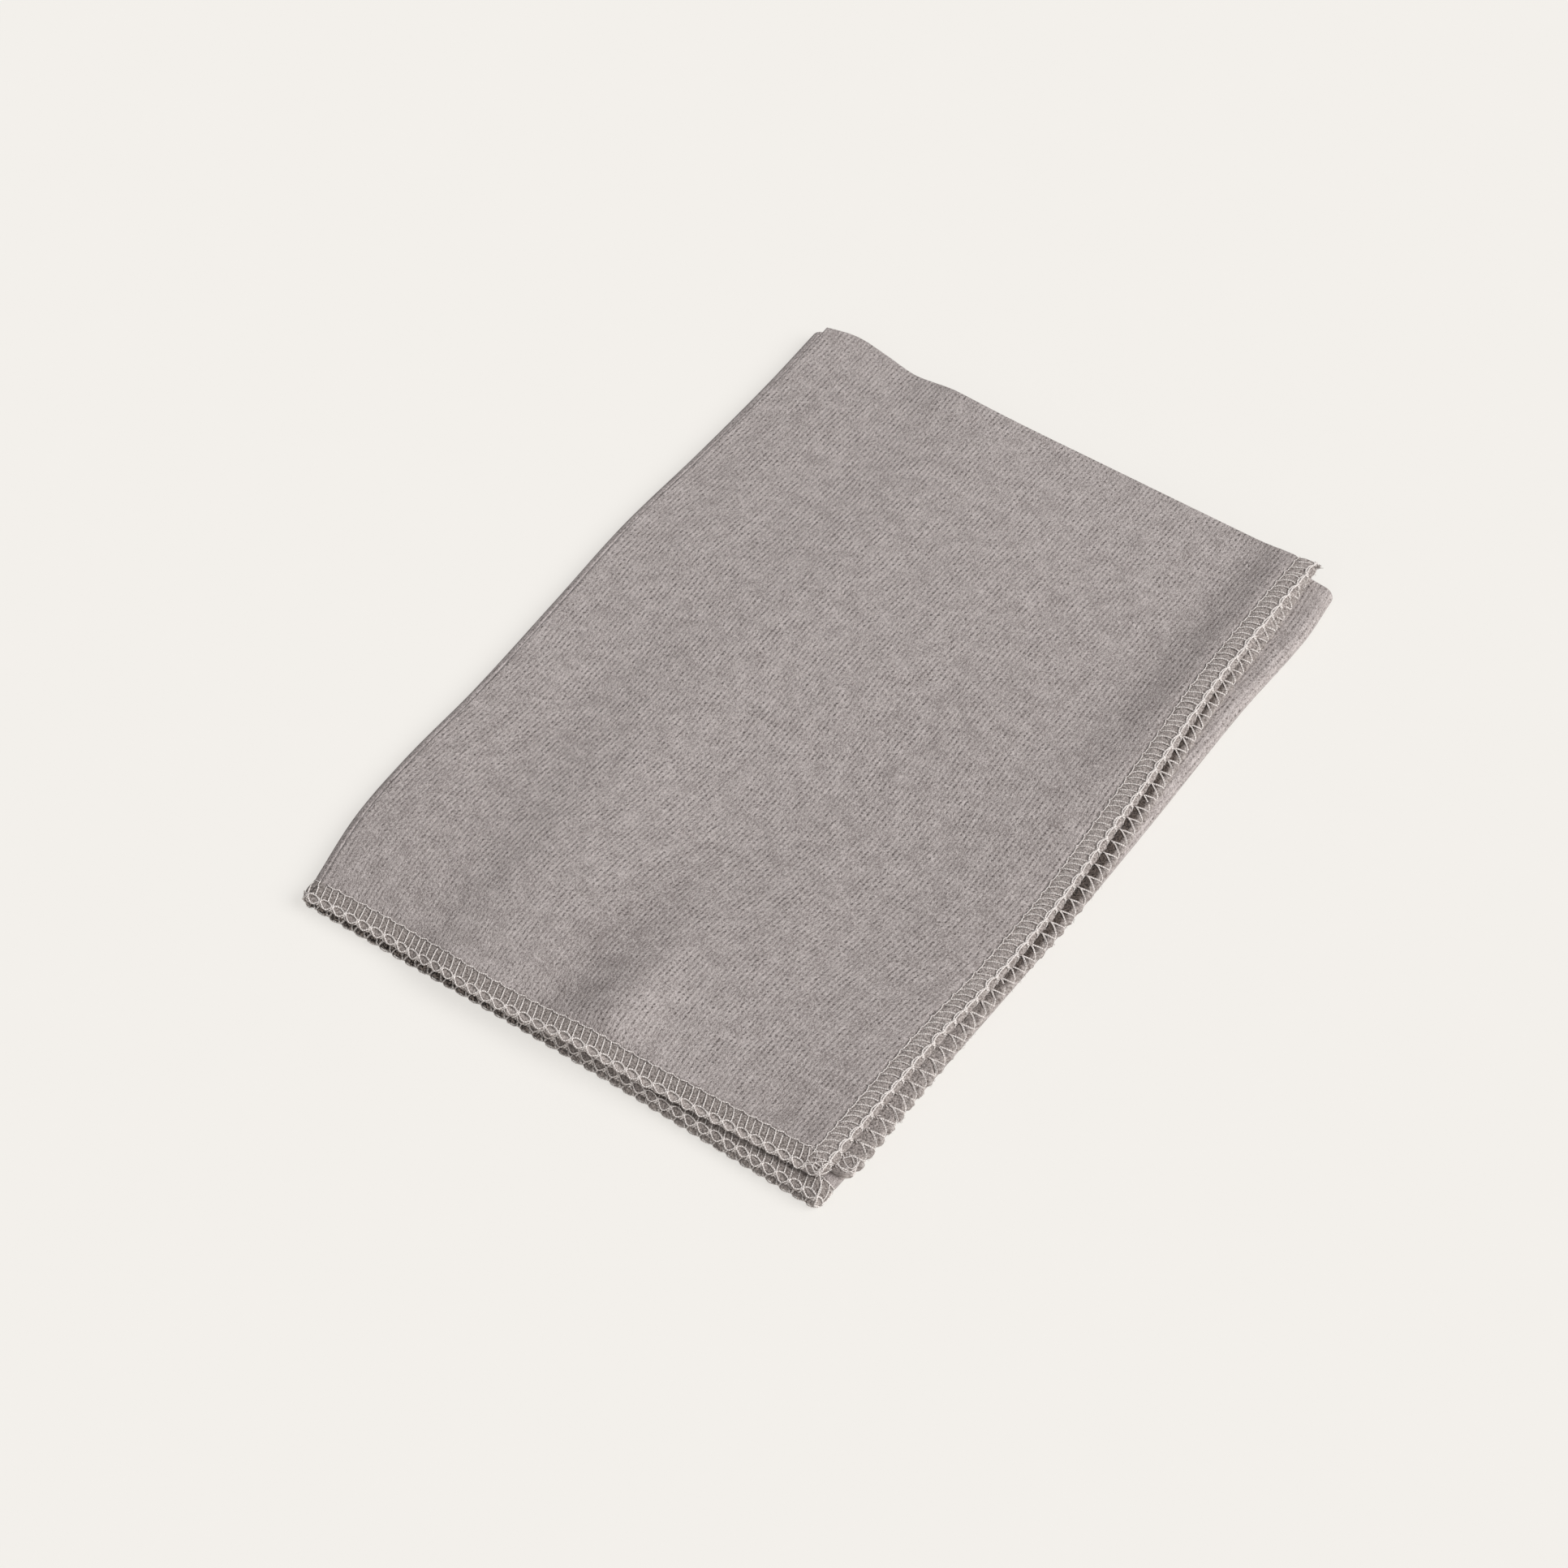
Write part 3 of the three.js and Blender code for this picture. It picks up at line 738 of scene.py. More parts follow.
class Hem:
    """One edge's hem. face_rise and back_rise scale its two sides, curl bends its edge down,
    lump is how far it swells between threads, and reach how far it stands out."""

    def __init__(self, root, out, facing, sewn, stitch, face_rise=1.0, back_rise=1.0, curl=0.0,
                 lump=EDGE_LUMP, reach=1.0, weight=1.0, open_chain=1.0):
        steps = np.linalg.norm(np.diff(root, axis=0), axis=1)
        self.length = np.concatenate([[0.0], np.cumsum(steps)])
        self.total = self.length[-1]
        self.root = root
        self.out = np.broadcast_to(np.array(out, float), root.shape)
        heading = np.gradient(root, self.length, axis=0)
        heading /= np.linalg.norm(heading, axis=1, keepdims=True)
        self.face = np.cross(self.out, heading) * facing
        self.face /= np.linalg.norm(self.face, axis=1, keepdims=True)
        self.sewn = sewn
        self.stitch = stitch
        self.reach = reach
        self.weight = weight
        self.open_chain = open_chain
        self.face_rise, self.back_rise, self.curl, self.lump = (
            np.broadcast_to(np.asarray(value, float), len(root))
            for value in (face_rise, back_rise, curl, lump))
        count = int(self.total / stitch) + 4
        self.stray = random.normal(0.0, STITCH_STRAY, (count + 2, 2))[:, 0]

    def sewn_at(self, at):
        return at if self.sewn > 0 else self.total - at

    def here(self, values, at):
        return np.interp(at, self.length, values)

    def read(self, rows, at):
        return np.stack([np.interp(at, self.length, rows[:, k]) for k in range(3)], axis=-1)

    def knot(self, number):
        """Where each knot lies along the sewing, a little unevenly."""
        return self.stitch * number + self.stray[np.clip(number, 0, len(self.stray) - 1)]

    def press(self, sewn, round_):
        """How far the threads hold the fabric in: 1 under a thread and 0 between threads."""
        lean = RUNG_LEAN * (1.0 - (round_ - NEEDLE_ROUND) / (KNOT_ROUND - NEEDLE_ROUND))
        rung = np.abs((2.0 * (sewn + lean) / self.stitch + 0.5) % 1.0 - 0.5) * self.stitch / 2.0
        face = np.exp(-(rung / 0.42) ** 2)
        face = face * (1.0 - smooth(KNOT_ROUND - 0.05, KNOT_ROUND + 0.02, round_))
        face = face * smooth(NEEDLE_ROUND - 0.02, NEEDLE_ROUND + 0.02, round_)
        away = smooth(KNOT_ROUND, BACK_ROUND, round_) * self.stitch
        first = near_whole((sewn - BACK_SHIFT * away) / self.stitch)
        second = near_whole((sewn + (1.0 - BACK_SHIFT) * away) / self.stitch)
        leg = np.exp(-(np.minimum(first, second) * self.stitch / 0.62) ** 2)
        return face, leg * smooth(KNOT_ROUND - 0.03, KNOT_ROUND + 0.05, round_)

    def swelling(self, sewn, round_, at):
        """How far the fabric swells between the threads and dips at the needle's holes."""
        face, leg = self.press(sewn, round_)
        nose = np.exp(-((round_ - NOSE_ROUND) / 0.12) ** 2)
        swollen = self.here(self.lump, at) * nose * (0.5 - leg) - RUNG_PRESS * (face - 0.3)
        hole = near_whole((sewn + RUNG_LEAN) / self.stitch) * self.stitch
        dip = np.exp(-(hole / 0.55) ** 2 - ((round_ - NEEDLE_ROUND + 0.008) / 0.024) ** 2)
        return swollen - NEEDLE_PRESS * dip

    def place(self, sewn, round_, lift=0.0, ends=None):
        sewn, round_, lift = np.broadcast_arrays(sewn, round_, lift)
        at = self.sewn_at(sewn)
        far = np.interp(round_, section_round, section_out)
        high = np.interp(round_, section_round, section_high)
        tilt = np.arctan2(np.interp(round_, section_round, slope_high),
                          np.interp(round_, section_round, slope_out))
        off = self.swelling(sewn, round_, at) + lift
        far = far * np.where(far > 0.0, self.reach, 1.0) - np.sin(tilt) * off
        high = high + np.cos(tilt) * off
        rise = np.where(high > 0.0, self.here(self.face_rise, at), self.here(self.back_rise, at))
        high = high * rise
        high = high - self.here(self.curl, at) * np.clip(far / EDGING_WIDTH, 0.0, 1.0) ** CURL_POWER
        if ends is not None:
            shrink, flat, sink = ends(at)
            far, high = far * shrink, high * flat - sink
        root, out, up = (self.read(rows, at) for rows in (self.root, self.out, self.face))
        places = root + out * far[..., None] + up * high[..., None]
        places[..., 2] = np.maximum(places[..., 2], TABLE_GAP + np.maximum(lift, 0.0))
        return places


print("knots every", FRONT_STITCH, "mm on the front edges and", SIDE_STITCH, "mm on the open side")

# %% Trace the needle lines
FRONT_OUT, RIGHT_OUT, LEFT_OUT = (0.0, -1.0, 0.0), (1.0, 0.0, 0.0), (-1.0, 0.0, 0.0)
PANEL_POINTS = 240
TURN_BEGUN = PANEL_POINTS + 15
TURN_MIDDLE = PANEL_POINTS + PANEL_POINTS // 2
line = np.linspace(0.0, 1.0, PANEL_POINTS + 1)
base_line = np.concatenate([
    line * UNDER_RUN,
    UNDER_RUN + line[1:] * TURN_RUN,
    TURN_END + line[1:] * OVER_RUN,
])
fold_line = np.linspace(0.0, 1.0, 61)[1:-1]


def reach_out(path):
    """Runs a needle line on, straight, over both corners."""
    first = path[0] - (path[1] - path[0]) / np.linalg.norm(path[1] - path[0]) * EDGING_WIDTH
    last = path[-1] + (path[-1] - path[-2]) / np.linalg.norm(path[-1] - path[-2]) * EDGING_WIDTH
    return np.concatenate([first[None], path, last[None]])


def front_path(layer):
    """One layer's needle line at the front: over the top panel, the left fold and the base."""
    top = top_place(line[::-1], 0.0, layer, 0.0)
    fold = fold_place(fold_line, 0.0, layer, 0.0)
    base = base_place(base_line, 0.0, layer, 0.0)
    path = reach_out(np.concatenate([top, fold, base]))
    return path, (len(top), len(top) + len(fold) + 1)


def side_path(place):
    return reach_out(place(*pair_rows(1.0, 16)))


outer_path, outer_cuts = front_path(1.0)
inner_path, inner_cuts = front_path(-1.0)
top_side_path = side_path(lambda along, layer, roll: top_place(1.0, along, layer, roll))
tucked_side_path = side_path(lambda along, layer, roll: base_place(BASE_END, along, layer, roll))
print("points on the outer needle line", len(outer_path))

# %% Shape the four hems
place_number = np.arange(len(outer_path))
on_top_panel = place_number <= outer_cuts[0]
on_tucked_panel = place_number > outer_cuts[1] + TURN_MIDDLE
STEP_POINTS = 25


def by_panel(top, base, tucked):
    """Values along the outer hem, one for each panel, with soft steps between them."""
    values = np.select([on_top_panel, on_tucked_panel], [top, tucked], base)
    padded = np.pad(values, STEP_POINTS // 2, mode="edge")
    return np.convolve(padded, np.ones(STEP_POINTS) / STEP_POINTS, mode="valid")


top_curl = mix(0.55, CURL, smooth(100.0, 145.0, outer_path[:, 0]))
outer_hem = Hem(outer_path, FRONT_OUT, -1.0, -1.0, FRONT_STITCH,
                back_rise=by_panel(0.45, 1.9, 0.95), curl=by_panel(top_curl, 0.95, CURL),
                lump=by_panel(EDGE_LUMP, 0.65, EDGE_LUMP))
inner_hem = Hem(inner_path, FRONT_OUT, 1.0, 1.0, FRONT_STITCH, face_rise=0.9,
                back_rise=0.8, reach=0.82)
top_side_hem = Hem(top_side_path, RIGHT_OUT, 1.0, 1.0, SIDE_STITCH, reach=1.05, weight=1.15,
                   open_chain=0.0)
side_share = top_side_hem.length / top_side_hem.total
under_lump = mix(0.8, 1.3, smooth(0.7, 0.85, side_share))
top_side_hem.lump = mix(EDGE_LUMP, under_lump, smooth(0.52, 0.58, side_share))
tucked_side_hem = Hem(tucked_side_path, LEFT_OUT, -1.0, -1.0, SIDE_STITCH, face_rise=0.9,
                      back_rise=0.9, open_chain=0.0)
hems = (outer_hem, inner_hem, top_side_hem, tucked_side_hem)
print("hems in millimetres:", [round(float(hem.total)) for hem in hems])

# %% Find where the hems pass from panel to panel
outer_left, outer_base = (float(outer_hem.length[cut]) for cut in outer_cuts)
inner_left, inner_base = (float(inner_hem.length[cut]) for cut in inner_cuts)
outer_end, inner_end = outer_hem.total, inner_hem.total
right_fold = float(outer_hem.length[outer_cuts[1] + TURN_BEGUN])
print("outer hem: base at", round(outer_base), "mm and right fold at", round(right_fold), "mm")


# %% [markdown]
# ## Threads, fluff and the hem's knit
# A thread could be a curve with a bevel, but a hem has thousands of short ones, which go
# into one mesh much faster as rings of points. Each ring is a little uneven, as spun yarn
# is. The cut edge of a knit frays, so fine yarn ends stand out of it between the stitches.

# %% Spin round threads
YARN_SWELL = 0.14
YARN_WANDER = 0.022


def tube(points, sides, radius):
    """Round threads along many lines at once. points has one row of places for each line."""
    lines, count = points.shape[:2]
    tangent = np.gradient(points, axis=1)
    tangent /= np.maximum(np.linalg.norm(tangent, axis=-1, keepdims=True), 1e-9)
    upright = np.abs(tangent[..., 2:3]) < 0.9
    guide = np.where(upright, np.array([0.0, 0.0, 1.0]), np.array([0.0, 1.0, 0.0]))
    side = np.cross(tangent, guide)
    side /= np.linalg.norm(side, axis=-1, keepdims=True)
    top = np.cross(side, tangent)
    angle = np.linspace(0.0, 2.0 * math.pi, sides, endpoint=False)
    radius = radius * (1.0 + YARN_SWELL * random.normal(0.0, 1.0, (lines, count)).clip(-2.0, 2.0))
    points = points + YARN_WANDER * random.normal(0.0, 1.0, points.shape).clip(-2.0, 2.0)
    ring = side[..., None, :] * np.cos(angle)[:, None] + top[..., None, :] * np.sin(angle)[:, None]
    places = points[..., None, :] + ring * radius[..., None, None]
    places[..., 2] = np.maximum(places[..., 2], 0.0)
    index = np.arange(lines * count * sides).reshape(lines, count, sides)
    after = np.roll(index, -1, axis=2)
    walls = np.stack([index[:, :-1], after[:, :-1], after[:, 1:], index[:, 1:]], axis=-1)
    ends = index[:, 0, ::-1].tolist() + index[:, -1].tolist()
    run = path_lengths(points, 1)[..., None] / FLAT_UNIT
    uvs = np.stack(np.broadcast_arrays(run, angle / (2.0 * math.pi)), axis=-1)
    return places.reshape(-1, 3), walls.reshape(-1, 4).tolist() + ends, uvs.reshape(-1, 2)


def gather(parts):
    """One mesh's lists out of several parts'."""
    points, faces, uvs, start = [], [], [], 0
    for part_points, part_faces, part_uvs in parts:
        points.append(part_points)
        faces += [[corner + start for corner in face] for face in part_faces]
        uvs.append(part_uvs)
        start += len(part_points)
    return np.concatenate(points), faces, np.concatenate(uvs)


print("threads", 2 * THREAD_RADIUS, "mm thick")

# %% Fray the cut edge
FIBRES = 8.0
FIBRE_RADIUS = 0.024
FIBRE_ROUND = 0.47
TUFT_FIBRES = 30
TUFT_RADIUS = 0.07
TUFT_ROUND = 0.84


def fibres(hem, start, end, ends=None):
    """Yarn ends that stand out of the cut edge, and short nap over the rest of the hem."""
    count = int((end - start) * FIBRES)
    pick = random.random((8, count, 1))
    length = mix(0.35, 1.0, pick[0] ** 2)
    root_round = np.where(pick[1] < 0.7, mix(0.40, 0.62, pick[2]), mix(0.10, 0.90, pick[2]))
    at = mix(start, end, pick[3])
    share = np.linspace(0.0, 1.0, 4)[None, :]
    turn = 2.0 * math.pi * pick[4]
    bend = share + 0.4 * (pick[5] - 0.5) * np.sin(math.pi * share)
    sewn = hem.sewn_at(at) + length * np.cos(turn) * bend * 0.8
    round_ = root_round + 0.05 * length * np.sin(turn) * share
    rise = np.sin(0.5 * math.pi * share * mix(1.0, 1.5, pick[7]))
    lift = length * mix(0.25, 0.75, pick[6]) * rise - 0.03
    lines = hem.place(sewn, np.clip(round_, 0.08, 0.92), lift, ends)
    points, faces, _ = tube(lines, 3, FIBRE_RADIUS)
    middle = np.broadcast_to(at / FLAT_UNIT, (count, 12)).reshape(-1)
    return points, faces, np.stack([middle, np.full(len(middle), FIBRE_ROUND)], axis=-1)


def tuft(root, toward):
    """Dark yarn ends that stick out of a hem together."""
    pick = random.normal(0.0, 1.0, (2, TUFT_FIBRES, 1, 3))
    share = np.linspace(0.0, 1.0, 4)[None, :, None]
    length = random.uniform(0.5, 1.0, (TUFT_FIBRES, 1, 1))
    lines = root + 0.22 * pick[0] + (np.array(toward) + 0.35 * pick[1] * share) * length * share
    points, faces, uvs = tube(lines, 4, TUFT_RADIUS)
    return points, faces, np.full_like(uvs, TUFT_ROUND)


print("yarn ends on a centimetre of hem:", round(10 * FIBRES))

# %% Make hem fabric
STITCH_ROWS = 10
ROUND_POINTS = 33
ROUND_STOPS = [0.0, 0.06, 0.12, 0.30, 0.44, 0.53, 0.66, 0.84, 1.0]
RUFFLE = 0.07


def rough_knit(rows, round_):
    """Small uneven lumps on the cut edge, smoothed over neighbouring points."""
    ruffle = random.normal(0.0, 1.0, (rows + 1, len(round_)))
    ruffle = ruffle + np.roll(ruffle, 1, axis=1) + np.roll(ruffle, 1, axis=0)
    return RUFFLE * ruffle * smooth(0.43, 0.52, round_) * (1.0 - smooth(0.8, 0.92, round_))


def hem_fabric(name, hem, start, end, material, ends, tufts):
    """The knit of a hem between two places along it, as a closed sleeve of fabric."""
    rows = max(int(round((end - start) / hem.stitch * STITCH_ROWS)), 8)
    at = np.linspace(start, end, rows + 1)
    shares = np.linspace(0, 1, len(ROUND_STOPS))
    round_ = np.interp(np.linspace(0, 1, ROUND_POINTS), shares, ROUND_STOPS)
    sewn = hem.sewn_at(at)
    points = hem.place(sewn[:, None], round_[None, :], rough_knit(rows, round_), ends)
    index = np.arange(points.shape[0] * points.shape[1]).reshape(points.shape[:2])
    after = np.roll(index, -1, axis=1)
    walls = np.stack([index[:-1], after[:-1], after[1:], index[1:]], axis=-1).reshape(-1, 4)
    faces = walls.tolist() + [index[0, ::-1].tolist(), index[-1].tolist()]
    uvs = np.stack(np.broadcast_arrays(at[:, None] / FLAT_UNIT, round_[None, :]), axis=-1)
    sleeve = (points.reshape(-1, 3), faces, uvs.reshape(-1, 2))
    parts = [sleeve, fibres(hem, start, end, ends), *tufts]
    return mesh_object(name, *gather(parts), material)


print("a hem's sleeve has", ROUND_POINTS, "points round and", STITCH_ROWS, "rows a stitch")

# %% [markdown]
# ## The stitches
# One modelled stitch could be repeated along each edge by an array modifier, but then all
# would be the same, and on the cloth no two are. So each function here draws one thread of
# the overlock at every stitch at once: the distance sewn, the share of the way round the
# edge, the lift and the thickness. All take the same four values, which lets one loop lay
# them. wobble holds six random numbers for each stitch.

# %% Run the needle thread
def needle_holes(knot, wobble):
    return knot - RUNG_LEAN + 0.12 * wobble[0]


def needle_thread(hem, knot, following, wobble):
    """One stitch from hole to hole, which dips toward the rungs at both of its ends."""
    share = np.linspace(0.0, 1.0, 15)[None, :]
    hole = needle_holes(knot, wobble)
    next_hole = np.concatenate([hole[1:], hole[-1:] + hem.stitch])
    arch = np.sin(math.pi * share)
    peak = np.exp(-(share * hem.stitch / 0.5) ** 2)
    peak = peak + np.exp(-((1.0 - share) * hem.stitch / 0.75) ** 2)
    yield (mix(hole, next_hole, share), NEEDLE_ROUND + 0.006 - 0.036 * peak,
           0.10 + 0.10 * arch + 0.10 * peak, mix(0.85, 1.15, hem.open_chain))


print("the needle goes in", RUNG_LEAN, "mm before each knot")

# %% Throw the upper looper's rungs and its chain
def rungs(hem, knot, following, wobble):
    """Two bowed rungs a stitch, from the needle's hole to the knot and half way to the next."""
    rung = np.linspace(0.0, 1.0, 10)[None, :]
    step = following - knot
    hole = needle_holes(knot, wobble)
    for shift, end_round in ((0.0, KNOT_ROUND), (0.5, KNOT_ROUND - 0.04)):
        foot = knot + step * shift
        head = hole + step * (shift + 0.03 * wobble[1])
        bow = mix(0.32, 0.16, hem.open_chain) * np.sin(math.pi * rung) * (1 + 0.5 * wobble[2])
        yield (mix(head, foot, rung) + bow, mix(NEEDLE_ROUND - 0.005, end_round, rung),
               0.04 + 0.05 * wobble[3], 1.1)


def chain(hem, knot, following, wobble):
    """Two strands from knot to knot, which stand open as loops where open_chain is 1."""
    share = np.linspace(0.0, 1.0, 15)[None, :]
    arch = np.sin(math.pi * share)
    opened = mix(-0.015, 0.070, hem.open_chain)
    for bulge, skew, thick in ((-0.050, 0.8, 1.4), (opened, 1.2, 1.3)):
        round_ = KNOT_ROUND + bulge * np.sin(math.pi * share ** skew) + 0.008 * wobble[3] * arch
        yield mix(knot, following, share), round_, 0.06 + 0.10 * arch, thick


print("a stitch has two rungs and two strands of chain")

# %% Pull the legs round the edge
def legs(hem, knot, following, wobble):
    """Two slack pairs of threads from each knot round the edge, and the knot's own coil."""
    down = np.linspace(0.0, 1.0, 12)[None, :]
    leg_round = mix(KNOT_ROUND, BACK_ROUND, down)
    turn = smooth(0.0, 1.0, down) * (following - knot)
    thick = mix(0.72, 0.95, hem.open_chain)
    for strand in (0.0, 0.26):
        slack = strand * np.sin(math.pi * down)
        yield knot + BACK_SHIFT * turn + slack, leg_round, 0.10 + 0.04 * wobble[4], thick
        yield knot - (1.0 - BACK_SHIFT) * turn - slack, leg_round, 0.12 + 0.04 * wobble[5], thick
    coil = np.linspace(0.0, 1.0, 8)[None, :]
    yield (knot - 0.38 + 0.76 * coil, KNOT_ROUND + 0.03 * np.cos(2 * math.pi * coil),
           0.12 + 0.10 * np.sin(math.pi * coil), 1.5)


def back_threads(hem, knot, following, wobble):
    """The short loops on the back, and the straight run behind the needle line."""
    back = np.linspace(0.0, 1.0, 7)[None, :]
    step = following - knot
    arch = np.sin(math.pi * back)
    back_knot = knot + BACK_SHIFT * step
    yield mix(back_knot - 0.5, back_knot + 0.5, back), BACK_ROUND + 0.06 * arch, 0.08, 0.9
    yield mix(back_knot, back_knot + step, back), NEEDLE_BACK + 0.01 * arch, 0.1, 1.0


print("the legs meet the back", BACK_SHIFT, "of a stitch past the knot")

# %% Sew one length of overlock
THREAD_SIDES = 6


def overlock(hem, start, end):
    """All threads of a hem between two places along it, which end there on one line."""
    low, high = sorted(hem.sewn_at(np.array([start, end])))
    numbers = np.arange(math.floor(low / hem.stitch) - 1, math.ceil(high / hem.stitch) + 2)
    knot, following = (hem.knot(numbers + step)[:, None] for step in (0, 1))
    wobble = random.normal(0.0, 1.0, (6, len(numbers), 1))
    parts = []
    for draw in (needle_thread, rungs, chain, legs, back_threads):
        for sewn, round_, lift, thick in draw(hem, knot, following, wobble):
            sewn, round_, lift = np.broadcast_arrays(sewn, round_, lift)
            kept = (sewn.mean(axis=1) > low) & (sewn.mean(axis=1) < high)
            if not kept.any():
                continue
            lift = lift[kept] + THREAD_RADIUS * 0.75
            places = hem.place(np.clip(sewn[kept], low, high), round_[kept], lift)
            parts.append(tube(places, THREAD_SIDES, THREAD_RADIUS * thick * hem.weight))
    return gather(parts)


print("stitches on the open side", int(top_side_hem.total / SIDE_STITCH))

# %% [markdown]
# ## Hem and thread finishes
# The knit inside the stitches is a little darker and browner than the open cloth, because
# the threads squeeze it and shade it. Its cut edge shows pale, fluffy yarn ends. The lowest
# front edge and the gap between the two layers of the open side lie in deep shade. A
# painted picture could hold all these tones, but here they depend only on the way along
# and round the hem, which the UV map gives, so a few nodes do. The lamps alone leave the
# shaded parts lighter than in the photograph, so the material darkens them. The thread is
# spun cotton, almost cream, with a fine twist.

# %% Choose the hem's tones
HEM_AROUND = 13.0
# The front tones and the SIDE_ tones are one knit, painted for how the light falls: the front cut
# edge is painted lighter because it faces away from the lamp, and on the open side, where the lamp
# shines, the face is painted lighter and the cut edge darker.
HEM_FACE = ((100, 91, 86), (188, 179, 174))
HEM_CUT = ((165, 155, 150), (226, 217, 212))
# Painted shade on the hems' backs, which lie in the gaps between the layers.
HEM_BACK_SHADE = ((78, 66, 60), (158, 146, 140))
SIDE_FACE = ((124, 115, 111), (216, 206, 201))
SIDE_CUT = ((130, 120, 115), (204, 195, 190))
# Deeper painted shade for the gap between the open side's two layers.
SIDE_GAP_SHADE = ((40, 33, 29), (112, 100, 93))
SHADOW = ((32, 26, 23), (160, 148, 140))
# Painted shade for the hollows between the hem knit's lumps.
HOLLOW_SHADE = (96, 86, 80)
print("hem knit is", HEM_AROUND, "mm round")

# %% Find the shaded stretches of a hem
CUT_SHADE_START = (70.0, 110.0)
CUT_SHADE_END = (235.0, 222.0)
DARK_RUN = (248.0, 404.0)


def lowest_edge(paint, along, nose):
    """Shade on the base's front edge, deepest on its left, and on the tucked-in cut edge."""
    left = paint.span(along, outer_base + 45.0, outer_base + 105.0, 1.0, 0.5)
    base = paint.times(left, paint.span(along, right_fold + 6.0, right_fold - 2.0))
    tucked = paint.span(along, right_fold, right_fold + 8.0, 0.0, 0.50)
    return paint.maths("MAXIMUM", base, paint.times(nose, tucked))


def shaded_cut_stretch(paint, along):
    """Painted shade on a stretch of the cut edge, which fades at both ends."""
    dim = paint.span(along, *CUT_SHADE_START, 0.0, 0.6)
    return paint.times(dim, paint.span(along, *CUT_SHADE_END))


def outside_run(paint, along, run):
    """Rises to either side of the stretch where the gap is darkest."""
    before = paint.span(along, run[0] + 25.0, run[0])
    return paint.maths("MAXIMUM", before, paint.span(along, run[1] - 40.0, run[1], 0.0, 0.8))


print("the gap on the open side is darkest from", DARK_RUN[0], "to", DARK_RUN[1], "mm along")

# %% Mix the hem's knit
def hem_material(name, face=HEM_FACE, cut=HEM_CUT, under=HEM_BACK_SHADE, cut_end=0.70, dark_run=None,
                 deep=False):
    paint = Paint(name)
    flat = paint.flat_cloth()
    stretch = paint.node("ShaderNodeVectorMath", operation="MULTIPLY")
    paint.feed(stretch.inputs[0], flat)
    stretch.inputs[1].default_value = (FLAT_UNIT, HEM_AROUND, 1.0)
    place = stretch.outputs[0]
    round_ = paint.axes(flat)[1]
    along = paint.axes(place)[0]
    fluff = paint.line(paint.less(paint.noise(place, 2.0, 3.0, 0.75), 0.5), 1.5, 0.5)
    lumps = paint.noise(place, 0.55, 3.0, 0.6)
    mottle = paint.span(fluff, 0.3, 0.7)
    nose = paint.times(paint.span(round_, 0.37, 0.42), paint.span(round_, cut_end, 0.53))
    band = paint.times(paint.span(round_, 0.055, 0.10), paint.span(round_, 0.945, 0.90))
    face = toned(paint, mottle, face)
    raw = paint.blend(shaded_cut_stretch(paint, along), toned(paint, mottle, cut), face)
    back = toned(paint, paint.span(fluff, 0.35, 0.65), under)
    if dark_run:
        back = paint.blend(outside_run(paint, along, dark_run), back, face)
    face = paint.blend(paint.span(round_, NOSE_ROUND, cut_end), face, back)
    colour = paint.blend(nose, paint.blend(band, toned(paint, mottle, CLOTH_TONES), face), raw)
    # Painted shade in the hollows between the knit's lumps.
    colour = paint.blend(paint.span(lumps, 0.62, 0.3, 0.0, 0.25), colour, from_bytes(*HOLLOW_SHADE))
    if deep:
        dark = toned(paint, paint.span(fluff, 0.42, 0.64), SHADOW)
        colour = paint.blend(lowest_edge(paint, along, nose), colour, dark)
    paint.relief(paint.add(fluff, paint.times(lumps, 0.8)), 0.8, 0.0003)
    paint.finish(colour, 0.95, 0.12, 0.5)
    return paint.material


# Copies of one knit with different painted light: the shaded copy adds painted shadow on the lowest
# front edge, and the side copy carries the open side's painted tones and its gap's painted shade.
hem_cotton = hem_material("sewn_cotton_knit")
shaded_hem_cotton = hem_material("shaded_cotton_knit", deep=True)
side_hem_cotton = hem_material("side_cotton_knit", SIDE_FACE, SIDE_CUT, SIDE_GAP_SHADE, 0.65, DARK_RUN)
print("nodes in the side hem's knit", len(side_hem_cotton.node_tree.nodes))

# %% Colour the thread
THREAD_TONES = ((205, 197, 192), (247, 241, 237))
TWIST_LENGTH = 0.55


def thread_material(name):
    paint = Paint(name)
    run, round_, _ = paint.axes(paint.flat_cloth())
    turns = paint.add(paint.times(run, FLAT_UNIT / TWIST_LENGTH), round_)
    twist = paint.maths("SINE", paint.times(turns, 2.0 * math.pi))
    place = paint.node("ShaderNodeTexCoord").outputs["Object"]
    hairy = paint.noise(place, 2500.0, 2.0)
    tone = paint.span(paint.add(paint.times(twist, 0.3), hairy), 0.2, 0.9)
    paint.relief(twist, 0.5, 0.00006)
    paint.finish(toned(paint, tone, THREAD_TONES), 0.8, 0.1, 0.4)
    return paint.material


cream_thread = thread_material("cream_cotton_thread")
print("thread colour from", from_bytes(*THREAD_TONES[0])[:3])

# %% [markdown]
# ## Laying the cloth
# The one sheet is laid in three parts. The top panel rides on the flap and the base stays
# still. The fabric between them has to bend when the flap opens, and a piece that rides on
# one body can't do that, so the left fold is attached to neither body and stays where it lies.

# %% Lay the top panel's two layers
FOLD_RUN = 6.4
top_across = graded(146.0, 2.0)
top_grid = top_place(top_across[None, :], *ROW_COLUMNS)
top_run = top_across * (TOP_WIDTH - FOLD_REACH - EDGING_WIDTH)
flat, to_front = flat_places(top_run, top_grid)
half = seam_thickness(to_front, top_run[-1] - top_run)
top_cloth = cloth_body("top_panel_cloth", top_grid, flat, half, cotton)
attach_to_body(top_cloth, "top_flap")
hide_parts("top_panel")
print("top panel's points", len(top_cloth.data.vertices))

